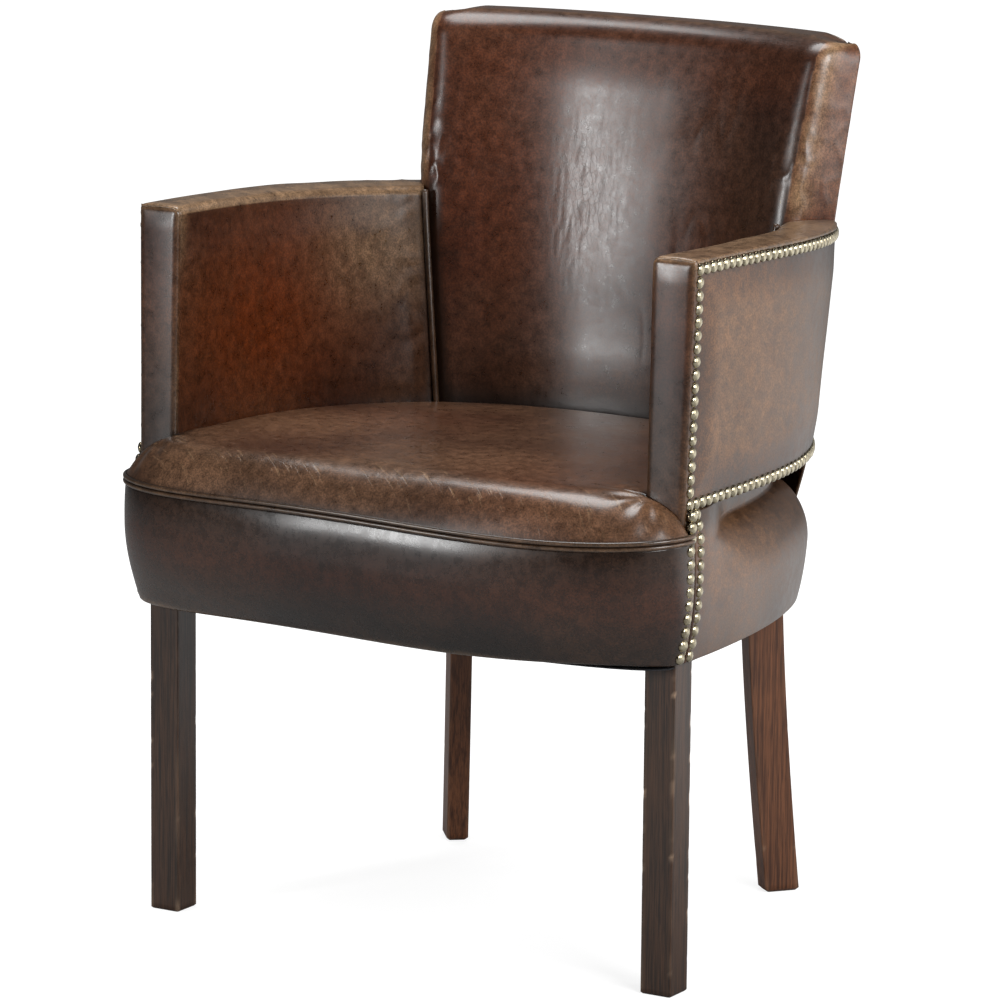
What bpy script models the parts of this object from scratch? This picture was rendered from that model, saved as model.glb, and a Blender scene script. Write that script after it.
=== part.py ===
"""Worn leather club chair with a barrel back, nailed arms, a bowed drum seat and sabre rear legs.

Metres, +Z up. The chair faces -Y, the plane x = 0 is its middle, and +X is the side on a viewer's
right. The origin lies on the floor under the middle of the chair's depth.
"""
import math

import bmesh
import bpy
import numpy as np
from mathutils import Matrix, Vector

# Fits and thin stuff
FIT = 0.0004
LEATHER = 0.002
LINING = 0.001

# Heights above the floor
HEIGHT = 0.840
ARM_HEIGHT = 0.686
ARM_DROP = 0.018
ARM_DROP_POWER = 1.5
SEAT_LINE = 0.455
SEAT_CROWN = 0.476
SEAT_RISE = 0.0105
SEAT_EASE = 0.30
SEAT_ROLL_POWER = 5.0
SEAT_ROLL_TIGHT = 6.0
SEAT_REAR_POWER = 2.2
WELT_BOTTOM = 0.4238
WELT_HEIGHT = 0.0095
WELT_PROUD = 0.0024
BAND_BOTTOM = 0.310
RAIL_TOP = 0.372

# Depths, from the arm fronts backwards
ARM_FRONT = -0.1875
SEAT_BOW = 0.095
SEAT_BOW_BOTTOM = 0.060
BACK_AT_SEAT = 0.380
BACK_AT_ARM = 0.400
BACK_AT_TOP = 0.4285
SEAM_AT_SEAT = 0.325
SEAM_AT_ARM = 0.345
SEAM_AT_TOP = 0.384
BACK_THICK_SEAT = 0.073
BACK_THICK_ARM = 0.062
BACK_THICK_TOP = 0.042

# Widths from the middle, which follow the arms' outside
ARM_OUT = 0.3025
ARM_OUT_LEAN = 0.005
ARM_LEAN = 0.0070
ARM_THICK = 0.0455
ARM_IN = ARM_OUT - ARM_THICK
SEAM_SET_SEAT = 0.0825
SEAM_SET_ARM = 0.0675
SEAM_SET_TOP = 0.0625
SEAM_OUT_SEAT = ARM_OUT - SEAM_SET_SEAT
SEAM_OUT_ARM = ARM_OUT - SEAM_SET_ARM
SEAM_OUT_TOP = ARM_OUT - SEAM_SET_TOP
SEAM_TURN_SEAT = 0.047
SEAM_TURN_ARM = 0.032
SEAM_TURN_TOP = 0.024
SEAM_IN_SEAT = SEAM_OUT_SEAT - SEAM_TURN_SEAT
SEAM_IN_ARM = SEAM_OUT_ARM - SEAM_TURN_ARM
SEAM_IN_TOP = SEAM_OUT_TOP - SEAM_TURN_TOP
SEAM_DEPTH_SEAT = 0.0425
SEAM_DEPTH_ARM = 0.048
SEAM_DEPTH_TOP = 0.046

# Curves of the shell in plan
ARM_BOW_IN = 3.0
ARM_BOW_OUT = 3.8
BACK_BOW = 2.5

# Seat drum
DRUM_PROUD = 0.0025
DRUM_OUT = ARM_OUT + DRUM_PROUD
DRUM_DEPTH = 0.4435
DRUM_POWER = 3.6
DRUM_FRONT_POWER = 2.6
DRUM_TAPER = 0.13305
DRUM_BULGE_AT = 0.388
DRUM_TUCK = 0.0095
DRUM_SHOULDER = 0.030
SHOULDER_POWER = 3.6
BAND_GAP = 0.010
RAY_STEP = 0.004
FRONT_COLUMN = (-0.0270, -0.0205)
SIDE_COLUMN = (0.0310, 0.0480)

# Legs
LEG = 0.032
LEG_SET = 0.0135
LEG_OUT = ARM_OUT - LEG_SET
LEG_PROUD = 0.0038
LEG_FRONT = ARM_FRONT - LEG_PROUD
LEG_EDGE = 0.0012
FOOT_EDGE = 0.003
SABRE_WIDE = 0.037
SABRE_THICK = 0.022
SABRE_TURN = math.radians(50.7)
SABRE_SET = 0.1310
SABRE_TOP_X = ARM_OUT - SABRE_SET
SABRE_BACK = 0.3725
SABRE_TOP_Y = ARM_FRONT + SABRE_BACK
SABRE_SWEEP = 0.024
SABRE_POWER = 1.4
SABRE_FOOT = 0.035

# Frame
RAIL_THICK = 0.022
RAIL_BOTTOM = 0.3122
RAIL_CLEAR = 0.0019
RAIL_SET = 0.001
FRONT_RAIL_BOW = 0.048
POST_WIDE = 0.0245
POST_DEEP = 0.030
ARM_RAIL_DEEP = 0.030
BACK_POST = 0.026
BACK_POST_DEEP = 0.034
BACK_RAIL = 0.040
BACK_RAIL_DEEP = 0.018
BACK_RAIL_LIFT = 0.012
BACK_RAIL_DROP = 0.064
POST_SET_FOOT = 0.010
POST_SET_SEAT = 0.013
POST_SET_TOP = 0.020
STRAP_STEP = 0.095
STRAP_CLEAR = 0.0040
STRAP_LIFT = 0.014
STRAP_DROP = 0.030
BLOCK_THICK = 0.030
BLOCK_SET = 0.089
BLOCK_REACH = LEG_OUT - BLOCK_SET
BLOCK_LIFT = 0.008
BLOCK_DROP = 0.002
BLOCK_WING = 0.040
STRAP_WIDE = 0.050
STRAP_THICK = 0.002

# Springs
SPRING_WIRE = 0.0034
SPRING_COUNT = 3
SPRING_STEP = 0.100
SPRING_PITCH = 0.042
SPRING_SWING = 0.021

# Padding
PAD_CLEAR = 0.0016
WAD_CLEAR = 0.0012
ARM_PAD = 0.010
BACK_PAD = 0.016
PAD_NARROW = 0.006
PAD_START = 0.02
PAD_REACH = 0.965
CORNER = 0.007
CORNER_OUT = 0.0018
TOP_ROLL = 0.022
OUTSIDE_NARROW = 0.070
OUTSIDE_FOOT = SEAM_OUT_SEAT - OUTSIDE_NARROW
OUTSIDE_LIFT = 0.020
OUTSIDE_CLEAR = 0.0045
FACING_STEP = 0.012
FACING_CLEAR = 0.002
FACING_CROWN = 0.0012
END_CROWN = 0.002
END_REACH = 0.985

# Nails
NAIL = 0.0111
NAIL_PITCH = 0.0119
NAIL_RISE = 0.0028
NAIL_SINK = 0.0012
NAIL_INSET = 0.0064
NAIL_TOP = 0.0060
NAIL_FRONT = 0.0086
PANEL_LIP = 0.0028
NAIL_SIDES = 6
NAIL_CROWN = 0.30
ROW_REACH = 0.985

# Piping and cutting
SEAM_WELT = 0.006
WELT_LIFT = 0.003
WELT_DROP = 0.004
CUT_SPARE = 0.010


def clear_scene():
    """Removes every object of the scene."""
    for item in list(bpy.data.objects):
        bpy.data.objects.remove(item, do_unlink=True)


def new_collection(name):
    """A collection linked to the scene."""
    made = bpy.data.collections.new(name)
    bpy.context.scene.collection.children.link(made)
    return made


def material(name, colour, roughness, metallic=0.0):
    """A plain Principled material."""
    made = bpy.data.materials.new(name)
    made.use_nodes = True
    shader = made.node_tree.nodes["Principled BSDF"]
    shader.inputs["Base Color"].default_value = (*colour, 1.0)
    shader.inputs["Roughness"].default_value = roughness
    shader.inputs["Metallic"].default_value = metallic
    return made


clear_scene()
CHAIR = new_collection("club_chair")
CUTTERS = new_collection("cutters")
HIDE = material("antiqued_leather", (0.075, 0.026, 0.014), 0.35)
WOOD = material("dark_stained_beech", (0.060, 0.028, 0.018), 0.45)
FRAME_WOOD = material("plain_beech", (0.45, 0.30, 0.17), 0.6)
FOAM = material("cream_foam", (0.75, 0.66, 0.45), 0.9)
JUTE = material("jute_webbing", (0.40, 0.28, 0.15), 0.9)
STEEL = material("spring_steel", (0.35, 0.35, 0.36), 0.35, 1.0)
CAMBRIC = material("black_cambric", (0.02, 0.02, 0.02), 0.9)


def place(name, mesh, stuff):
    """Links a mesh as a named sub-part of the chair."""
    made = bpy.data.objects.new(name, mesh)
    mesh.materials.append(stuff)
    CHAIR.objects.link(made)
    return made


def mesh_from(name, points, faces):
    """A mesh from points and faces, with doubles merged and its faces turned outwards."""
    mesh = bpy.data.meshes.new(name)
    mesh.from_pydata([tuple(p) for p in points], [], faces)
    work = bmesh.new()
    work.from_mesh(mesh)
    bmesh.ops.remove_doubles(work, verts=work.verts, dist=1e-6)
    bmesh.ops.recalc_face_normals(work, faces=work.faces)
    work.to_mesh(mesh)
    work.free()
    return mesh


def loft(name, rings, stuff, capped=True):
    """A closed solid through rings of equally many points."""
    rings = np.asarray(rings, dtype=float)
    count, sides = rings.shape[:2]
    faces = []
    for i in range(count - 1):
        for j in range(sides):
            k = (j + 1) % sides
            faces.append((i * sides + j, i * sides + k, (i + 1) * sides + k, (i + 1) * sides + j))
    if capped:
        faces.append(tuple(range(sides)))
        faces.append(tuple(range((count - 1) * sides, count * sides)))
    return place(name, mesh_from(name, rings.reshape(-1, 3), faces), stuff)


def slab(name, near, far, stuff):
    """A closed solid between two grids of equal shape."""
    near = np.asarray(near, dtype=float)
    far = np.asarray(far, dtype=float)
    rows, cols = near.shape[:2]
    shift = rows * cols
    faces = []
    for i in range(rows - 1):
        for j in range(cols - 1):
            a = i * cols + j
            quad = (a, a + 1, a + cols + 1, a + cols)
            faces.append(quad)
            faces.append(tuple(shift + v for v in reversed(quad)))
    rim = list(range(cols))
    rim += [i * cols + cols - 1 for i in range(1, rows)]
    rim += [(rows - 1) * cols + j for j in range(cols - 2, -1, -1)]
    rim += [i * cols for i in range(rows - 2, 0, -1)]
    for a, b in zip(rim, rim[1:] + rim[:1]):
        faces.append((a, b, shift + b, shift + a))
    points = np.concatenate([near.reshape(-1, 3), far.reshape(-1, 3)])
    return place(name, mesh_from(name, points, faces), stuff)


def sheet(name, grid, inside, stuff, thick=LEATHER):
    """Leather or cloth: an open grid with Solidify, growing from its outer face towards a point."""
    grid = np.asarray(grid, dtype=float)
    rows, cols = grid.shape[:2]
    faces = []
    for i in range(rows - 1):
        for j in range(cols - 1):
            a = i * cols + j
            faces.append((a, a + 1, a + cols + 1, a + cols))
    mesh = bpy.data.meshes.new(name)
    mesh.from_pydata([tuple(p) for p in grid.reshape(-1, 3)], [], faces)
    work = bmesh.new()
    work.from_mesh(mesh)
    bmesh.ops.remove_doubles(work, verts=work.verts, dist=1e-6)
    work.faces.ensure_lookup_table()
    work.normal_update()
    middle = work.faces[len(work.faces) // 2]
    if middle.normal.dot(Vector(inside) - middle.calc_center_median()) > 0:
        bmesh.ops.reverse_faces(work, faces=work.faces)
    work.to_mesh(mesh)
    work.free()
    made = place(name, mesh, stuff)
    wall = made.modifiers.new("wall", "SOLIDIFY")
    wall.thickness = thick
    wall.offset = -1.0
    return made


def mirrored(points, side):
    """The points on the right, or their mirror image on the left."""
    return np.asarray(points, dtype=float) * np.array([side, 1.0, 1.0])


def between(z, seat, arm, top):
    """A size that is given at the seat, at the arms and at the top, straight between them."""
    return np.interp(z, [SEAT_LINE, ARM_HEIGHT, HEIGHT], [seat, arm, top])


def seam_in(z):
    """The inner edge of the seam plane where the arm ends and the back begins."""
    x = between(z, SEAM_IN_SEAT, SEAM_IN_ARM, SEAM_IN_TOP)
    return x, ARM_FRONT + between(z, SEAM_AT_SEAT, SEAM_AT_ARM, SEAM_AT_TOP)


def seam_out(z):
    """The outer edge of that seam plane."""
    x = between(z, SEAM_OUT_SEAT, SEAM_OUT_ARM, SEAM_OUT_TOP)
    deep = between(z, SEAM_DEPTH_SEAT, SEAM_DEPTH_ARM, SEAM_DEPTH_TOP)
    return x, seam_in(z)[1] + deep


def back_front(x, z):
    """Depth of the back's front face: a bow that falls forward towards the seams."""
    edge_x, edge_y = seam_in(z)
    middle = ARM_FRONT + between(z, BACK_AT_SEAT, BACK_AT_ARM, BACK_AT_TOP)
    return middle - (middle - edge_y) * np.minimum(np.abs(x) / edge_x, 1.0) ** BACK_BOW


def back_rear(x, z):
    """Depth of the back's rear face."""
    edge_x, edge_y = seam_out(z)
    middle = ARM_FRONT + between(z, BACK_AT_SEAT, BACK_AT_ARM, BACK_AT_TOP)
    middle = middle + between(z, BACK_THICK_SEAT, BACK_THICK_ARM, BACK_THICK_TOP)
    return middle - (middle - edge_y) * np.minimum(np.abs(x) / edge_x, 1.0) ** BACK_BOW


def arm_face(share, z, start_x, edge, bow, inset):
    """A point of an arm's face, which leaves its front straight and bends to the seam by a power.

    The point is moved by inset along the face's own level normal, towards the middle of the chair.
    """
    edge_x, edge_y = edge
    start_y = arm_front(z)
    run = edge_y - start_y
    x = start_x - (start_x - edge_x) * share ** bow
    slope = -(start_x - edge_x) * bow * share ** (bow - 1.0)
    normal = np.array([-run, slope]) / math.hypot(run, slope)
    return np.array([x + normal[0] * inset, start_y + run * share + normal[1] * inset, z])


def arm_inner(share, z, inset=0.0):
    """A point of the right arm's inner face, share 0 at its front and 1 at the seam."""
    return arm_face(share, z, ARM_IN, seam_in(z), ARM_BOW_IN, -inset)


def arm_outer(share, z, inset=0.0):
    """A point of the right arm's outer face."""
    start = ARM_OUT - ARM_OUT_LEAN * (ARM_HEIGHT - z) / (ARM_HEIGHT - WELT_BOTTOM)
    return arm_face(share, z, start, seam_out(z), ARM_BOW_OUT, inset)


def arm_front(z):
    """Depth of the arm's front face, which leans forward towards the seat."""
    return ARM_FRONT - ARM_LEAN * (ARM_HEIGHT - z) / (ARM_HEIGHT - WELT_BOTTOM)


def arm_top(share):
    """Height of the arm's top, which falls towards the back."""
    return ARM_HEIGHT - ARM_DROP * share ** ARM_DROP_POWER


def arm_section(share, low_in, low_out, drop, inset, steps=3):
    """Outline of the arm at a station, from its inner foot over the top to its outer foot.

    The outline is drawn in by inset from both faces and lowered by drop. Its inner top corner is
    rounder than its outer one, which the nailed panel meets.
    """
    corner, outer_corner = CORNER, CORNER_OUT
    top = arm_top(share) - drop
    wide = arm_outer(share, top) - arm_inner(share, top)
    across = wide / np.linalg.norm(wide)
    line = []
    for z in np.linspace(low_in, top - corner, 3):
        line.append(arm_inner(share, z, inset))
    for k in range(1, steps + 1):
        turn = 0.5 * math.pi * k / steps
        base = arm_inner(share, top - corner, inset) + across * corner * (1.0 - math.cos(turn))
        line.append(base + np.array([0.0, 0.0, corner * math.sin(turn)]))
    for turn in (0.5 * math.pi, 0.25 * math.pi):
        base = arm_outer(share, top - outer_corner, inset)
        base = base - across * outer_corner * (1.0 - math.cos(turn))
        line.append(base + np.array([0.0, 0.0, outer_corner * math.sin(turn)]))
    line.append(arm_outer(share, top - outer_corner, inset))
    line.append(arm_outer(share, low_out, inset))
    return np.array(line)


def drum_reach(z):
    """Half width, front bow and rear depth of the drum's outline at a height."""
    low = np.clip((DRUM_BULGE_AT - z) / (DRUM_BULGE_AT - BAND_BOTTOM), 0.0, 1.0)
    high = np.clip((z - DRUM_BULGE_AT) / (SEAT_LINE - DRUM_BULGE_AT), 0.0, 1.0)
    tuck = DRUM_TUCK * low ** 2
    bow = SEAT_BOW - (SEAT_BOW - SEAT_BOW_BOTTOM) * low ** 2 - DRUM_SHOULDER * high ** SHOULDER_POWER
    return DRUM_OUT - tuck, bow, DRUM_DEPTH - tuck


def drum_outline(z, inset=0.0, steps=160):
    """The drum's outline at a height as a dense closed line, from the right side round the rear.

    Two half superellipses meet at the arm fronts, and the rear one narrows towards the back.
    """
    wide, bow, deep = drum_reach(z)
    wide, bow, deep = wide - inset, bow - inset, deep - inset
    turn = np.linspace(0.0, 2.0 * math.pi, steps, endpoint=False)
    rear = np.sin(turn) >= 0
    power = np.where(rear, DRUM_POWER, DRUM_FRONT_POWER)
    reach = np.where(rear, deep, bow)
    x = wide * np.sign(np.cos(turn)) * np.abs(np.cos(turn)) ** (2.0 / power)
    y = reach * np.sign(np.sin(turn)) * np.abs(np.sin(turn)) ** (2.0 / power)
    x = x * (1.0 - DRUM_TAPER * np.maximum(y, 0.0) / DRUM_DEPTH)
    return np.column_stack([x, ARM_FRONT + y])


def seat_outline(z_line, inset=0.0):
    """The seat top's outline: the front bow, and behind the arm fronts the arms and the back."""
    near_arm = SEAT_HUB[1]
    front = [p for p in drum_outline(WELT_BOTTOM + WELT_HEIGHT, inset, 240) if p[1] < near_arm - FIT]
    front = sorted(front, key=lambda p: p[0])
    right = [np.array([arm_inner(0.0, z_line)[0] - inset - FIT, near_arm])]
    for share in np.linspace(0.02, 0.97, 14):
        right.append(arm_inner(share, z_line)[:2] - np.array([inset + FIT, 0.0]))
    rear = []
    edge = seam_in(z_line)[0] - inset - FIT
    for x in np.linspace(edge, -edge, 15):
        rear.append(np.array([x, back_front(x, z_line) - inset - FIT]))
    left = [p * np.array([-1.0, 1.0]) for p in reversed(right)]
    return np.array(list(front) + right + rear + left)


def shoulder_outline():
    """The line at the seat's height that the drum rounds in to: the arms' outside and the back."""
    right = [arm_outer(share, SEAT_LINE, LEATHER)[:2] for share in np.linspace(0.0, 1.0, 40)]
    x = np.linspace(SEAM_OUT_SEAT, -SEAM_OUT_SEAT, 41)
    rear = np.column_stack([x, back_rear(x, SEAT_LINE) - LEATHER - 4 * FIT])[1:-1]
    left = [p * np.array([-1.0, 1.0]) for p in reversed(right)]
    return np.array(right + list(rear) + left)


def side_band_line(z, turns):
    """The side band's outline at a height: the drum, rounded in under the arms at its top."""
    line = polar(drum_outline(z, 0.0, 400), turns)
    high = np.clip((z - DRUM_BULGE_AT) / (SEAT_LINE - DRUM_BULGE_AT), 0.0, 1.0)
    under = polar(shoulder_outline(), turns)
    reach = np.linalg.norm(line - DRUM_HUB, axis=1)
    goal = np.minimum(np.linalg.norm(under - DRUM_HUB, axis=1), reach)
    share = (reach + (goal - reach) * high ** SHOULDER_POWER) / reach
    return DRUM_HUB + (line - DRUM_HUB) * share[:, None]


DRUM_HUB = np.array([0.0, ARM_FRONT])
SEAT_HUB = np.array([0.0, arm_front(SEAT_LINE) - LEATHER - FIT])


def polar(line, angles, hub=DRUM_HUB):
    """Points of a closed line where rays from a hub cross it."""
    arm = line - hub
    turn = np.arctan2(arm[:, 1], arm[:, 0])
    order = np.argsort(turn)
    turn, line = turn[order], line[order]
    turn = np.concatenate([turn[-1:] - 2 * math.pi, turn, turn[:1] + 2 * math.pi])
    line = np.concatenate([line[-1:], line, line[:1]])
    x = np.interp(angles, turn, line[:, 0])
    y = np.interp(angles, turn, line[:, 1])
    return np.column_stack([x, y])


def seat_angles():
    """Ray angles that spread evenly over the seat's edge, finer at the arm fronts."""
    front = np.linspace(-math.pi + 0.02, -0.02, 17)
    rear = np.concatenate([[0.0], np.linspace(0.18, 1.08, 6), np.linspace(1.27, math.pi - 1.27, 5)])
    rear = np.concatenate([rear, np.linspace(math.pi - 1.08, math.pi - 0.18, 6), [math.pi]])
    return np.concatenate([front, rear])


def seat_height(share, angles):
    """Height of the seat top: a crown over its middle that rolls down to the front welt.

    Beside the arm fronts the edge stands higher at the arms and the roll is tighter.
    """
    aside = np.minimum(np.abs(angles), math.pi - np.abs(angles))
    near_arm = np.exp(-aside / SEAT_EASE)
    edge_front = np.full(len(angles), WELT_BOTTOM + WELT_HEIGHT + 2 * FIT)
    low = np.where(angles < 0.0, edge_front, SEAT_LINE + FIT + SEAT_RISE * near_arm)
    roll = SEAT_ROLL_POWER + SEAT_ROLL_TIGHT * near_arm
    power = np.where(angles < 0.0, roll, SEAT_REAR_POWER)
    return low + (SEAT_CROWN - low) * (1.0 - share ** power)


def seat_grid(inset, drop):
    """Rings of the seat top from its hub to its edge, drawn in by inset and lowered by drop."""
    angles = seat_angles()
    edge = polar(seat_outline(SEAT_LINE, inset), angles, SEAT_HUB)
    rows = []
    for share in (0.12, 0.42, 0.70, 0.86, 0.95, 1.0):
        flat = SEAT_HUB + (edge - SEAT_HUB) * share
        tall = seat_height(share, angles) - drop
        rows.append(np.column_stack([flat, tall]))
    return rows


def closed_rows(rows):
    """Rows with their first column repeated at the end, so that a grid closes on itself."""
    return [np.concatenate([row, row[:1]]) for row in rows]


def build_seat():
    """The seat's cover, welt, band and pads."""
    grid = closed_rows(seat_grid(0.0, 0.0))
    hub = np.repeat([[SEAT_HUB[0], SEAT_HUB[1], SEAT_CROWN]], len(grid[0]), axis=0)
    sheet("seat_top_cover", [hub] + grid, (0.0, 0.0, BAND_BOTTOM), HIDE)

    inset = LEATHER + PAD_CLEAR
    rows = seat_grid(inset, inset)
    low = RAIL_TOP + SPRING_WIRE + 2 * FIT
    bottom = rows[-1].copy()
    bottom[:, 2] = low
    hub_top = np.repeat([[SEAT_HUB[0], SEAT_HUB[1], SEAT_CROWN - inset]], len(bottom), axis=0)
    hub_low = hub_top.copy()
    hub_low[:, 2] = low
    loft("seat_pad", [hub_top] + rows + [bottom, hub_low], FOAM, capped=False)

    steps = np.concatenate([[-math.pi + 0.02, -math.pi + 0.07], np.linspace(-math.pi + 0.14, -0.14, 21)])
    steps = np.concatenate([steps, [-0.07, -0.02]])
    ring_rows = []
    profile = ((-0.125, 0.0), (0.5, 0.0), (1.0, 0.25), (1.0, 0.75), (0.5, 1.0), (-0.125, 1.0))
    for out, up in profile:
        z = WELT_BOTTOM + FIT + (WELT_HEIGHT - FIT) * up
        line = polar(drum_outline(WELT_BOTTOM, -out * WELT_PROUD, 400), steps)
        ring_rows.append(np.column_stack([line, np.full(len(line), z)]))
    loft("seat_front_welt", np.array(ring_rows).transpose(1, 0, 2), HIDE)

    middle = np.linspace(-math.pi + 0.14, -0.14, 21)
    front_turn = np.concatenate([[-math.pi, -math.pi + 0.07], middle, [-0.07, 0.0]])
    levels = np.linspace(BAND_BOTTOM, WELT_BOTTOM, 6)
    rows = []
    for z in levels:
        line = polar(drum_outline(z, 0.0, 400), wrap(front_turn))
        rows.append(np.column_stack([line, np.full(len(front_turn), z)]))
    front_band_pad(middle, [RAIL_BOTTOM, levels[1], levels[2], RAIL_TOP])
    band = sheet("seat_band_front", rows, (0.0, ARM_FRONT, RAIL_TOP), HIDE)
    add_nails(band, band_nails(FRONT_COLUMN))

    rear_turn = rear_angles(BAND_GAP)
    rows = []
    near_top = WELT_BOTTOM + 0.6 * (SEAT_LINE - WELT_BOTTOM)
    for z in (*np.linspace(BAND_BOTTOM, WELT_BOTTOM, 5), near_top, SEAT_LINE - FIT):
        rows.append(np.column_stack([side_band_line(z, rear_turn), np.full(len(rear_turn), z)]))
    band = sheet("seat_band_sides", rows, (0.0, ARM_FRONT + DRUM_DEPTH / 2, RAIL_TOP), HIDE)
    for side in (1.0, -1.0):
        cut_by(band, loft_cutter("arm_post_slot", arm_post_rings(side, 2 * FIT)))
        cut_by(band, loft_cutter("back_post_slot", back_post_rings(side, 2 * FIT)))
    add_nails(band, band_nails(SIDE_COLUMN))


def front_band_pad(turns, levels):
    """The wadding between the front rail and the bowed band."""
    rows_out, rows_in = [], []
    for z in levels:
        line = polar(drum_outline(z, LEATHER + WAD_CLEAR, 400), turns)
        line = line[np.abs(line[:, 0]) < LEG_OUT - LEG - LEATHER]
        back = front_rail_face(line[:, 0]) - WAD_CLEAR
        rows_out.append(np.column_stack([line, np.full(len(line), z)]))
        rows_in.append(np.column_stack([line[:, 0], back, np.full(len(line), z)]))
    count = min(len(row) for row in rows_out)
    rows_out = [trimmed(row, count) for row in rows_out]
    rows_in = [trimmed(row, count) for row in rows_in]
    slab("front_band_pad", rows_out, rows_in, FOAM)


def trimmed(row, count):
    """A row with as many points taken off each end as leave the count."""
    spare = (len(row) - count) // 2
    return row[spare:len(row) - spare]


def front_rail_face(x):
    """Depth of the front rail's bowed outer face."""
    return LEG_FRONT + RAIL_SET - FRONT_RAIL_BOW * (1.0 - (x / (LEG_OUT - LEG - FIT)) ** 2)


def wrap(angles):
    """Angles brought into the range from minus pi to pi."""
    return (angles + math.pi) % (2.0 * math.pi) - math.pi


def rear_angles(start):
    """Ray angles round the rear of the drum."""
    side = np.concatenate([np.linspace(start, 0.95, 7), np.linspace(1.05, math.pi / 2, 6)])
    return np.concatenate([side, math.pi - side[-2::-1]])


def band_nails(turns):
    """Nail places and outward directions of a short column on both corners of the band.

    The column leans from one ray angle at the foot of the band to another at its top.
    """
    spots = []
    low, high = BAND_BOTTOM + NAIL_INSET, WELT_BOTTOM - NAIL_INSET
    count = int(round((high - low) / NAIL_PITCH)) + 1
    for side in (1.0, -1.0):
        for z in np.linspace(low, high, count):
            turn = turns[0] + (turns[1] - turns[0]) * (z - low) / (high - low)
            ray = np.array([turn - RAY_STEP, turn, turn + RAY_STEP])
            line = polar(drum_outline(z, 0.0, 400), ray)
            along = line[2] - line[0]
            out = np.array([along[1], -along[0], 0.0])
            spots.append((mirrored([*line[1], z], side), mirrored(out / np.linalg.norm(out), side)))
    return spots


def loft_cutter(name, rings):
    """A hidden solid that cuts a slot."""
    made = loft(name, rings, HIDE)
    CHAIR.objects.unlink(made)
    CUTTERS.objects.link(made)
    made.hide_render = True
    made.display_type = "WIRE"
    return made


def cut_by(carrier, cutter):
    """Cuts a hidden solid out of a sub-part."""
    cut = carrier.modifiers.new(cutter.name, "BOOLEAN")
    cut.operation = "DIFFERENCE"
    cut.solver = "EXACT"
    cut.object = cutter


def add_nails(carrier, spots):
    """Joins a row of domed nail heads to the leather that they hold."""
    work = bmesh.new()
    for spot, out in spots:
        turn = Vector((0.0, 0.0, 1.0)).rotation_difference(Vector(out)).to_matrix().to_4x4()
        lift = Matrix.Translation((0.0, 0.0, (NAIL_RISE - NAIL_SINK) / 2.0))
        bmesh.ops.create_cone(work, cap_ends=True, segments=NAIL_SIDES, radius1=NAIL / 2.0,
                              radius2=NAIL * NAIL_CROWN, depth=NAIL_RISE + NAIL_SINK,
                              matrix=Matrix.Translation(Vector(spot)) @ turn @ lift)
    mesh = bpy.data.meshes.new(carrier.name + "_nails")
    work.to_mesh(mesh)
    work.free()
    nails = bpy.data.objects.new(carrier.name + "_nails", mesh)
    CUTTERS.objects.link(nails)
    nails.hide_render = True
    nails.display_type = "WIRE"
    join = carrier.modifiers.new("nails", "BOOLEAN")
    join.operation = "UNION"
    join.solver = "EXACT"
    join.object = nails


def build_arm(side, word):
    """One arm: its cover, front facing, nailed outer panel, pad, post and rail."""
    centre = mirrored([[(ARM_IN + ARM_OUT) / 2, 0.0, (SEAT_LINE + ARM_HEIGHT) / 2]], side)[0]
    stations = np.linspace(0.0, 1.0, 13)
    foot_in = SEAT_LINE + FIT
    rows = []
    for share in stations:
        line = arm_section(share, foot_in, arm_top(share) - PANEL_LIP, 0.0, 0.0)
        rows.append(mirrored(line, side))
    rows = np.array(rows)
    rows[0, :, 1] += LEATHER + FIT
    sheet(f"arm_cover_{word}", rows, centre, HIDE)

    facing(side, word)

    shares = np.linspace(0.0, 1.0, 15)
    low = SEAT_LINE + FIT
    rows = []
    for z_share in np.linspace(0.0, 1.0, 5):
        row = []
        for share in shares:
            high = arm_top(share) - PANEL_LIP - FIT
            row.append(arm_outer(share, low + (high - low) * z_share))
        rows.append(mirrored(row, side))
    rows = np.array(rows)
    rows[:, 0, 1] += LEATHER + FIT
    panel = sheet(f"arm_outer_panel_{word}", rows, centre, HIDE)
    add_nails(panel, panel_nails(side, low))

    shell = LEATHER + FIT
    rings = []
    for share in stations * PAD_REACH + PAD_START:
        low_lip = arm_top(share) - shell - CORNER
        outer = arm_section(share, foot_in + FIT, low_lip, shell, shell + FIT, 2)[:-1]
        top = arm_top(share) - shell - ARM_PAD
        far = arm_outer(share, top, shell + FIT)
        near_top = arm_inner(share, top, shell + ARM_PAD)
        near_low = arm_inner(share, foot_in + FIT, shell + ARM_PAD)
        rings.append(mirrored(list(outer) + [far, near_top, near_low], side))
    loft(f"arm_pad_{word}", rings, FOAM)

    loft(f"arm_post_{word}", arm_post_rings(side, 0.0), FRAME_WOOD)

    rings = []
    start = (ARM_LEAN / 3 + shell + POST_DEEP + FIT) / SEAM_AT_ARM
    for share in np.linspace(start, 0.90, 7):
        high = arm_top(share) - shell - ARM_PAD - FIT
        low_rail = high - ARM_RAIL_DEEP
        ring = []
        for z, outer_side in ((low_rail, False), (high, False), (high, True), (low_rail, True)):
            if outer_side:
                ring.append(arm_outer(share, z, shell + 2 * FIT))
            else:
                ring.append(arm_inner(share, z, shell + ARM_PAD + 2 * FIT))
        rings.append(mirrored(ring, side))
    loft(f"arm_rail_{word}", rings, FRAME_WOOD)


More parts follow.
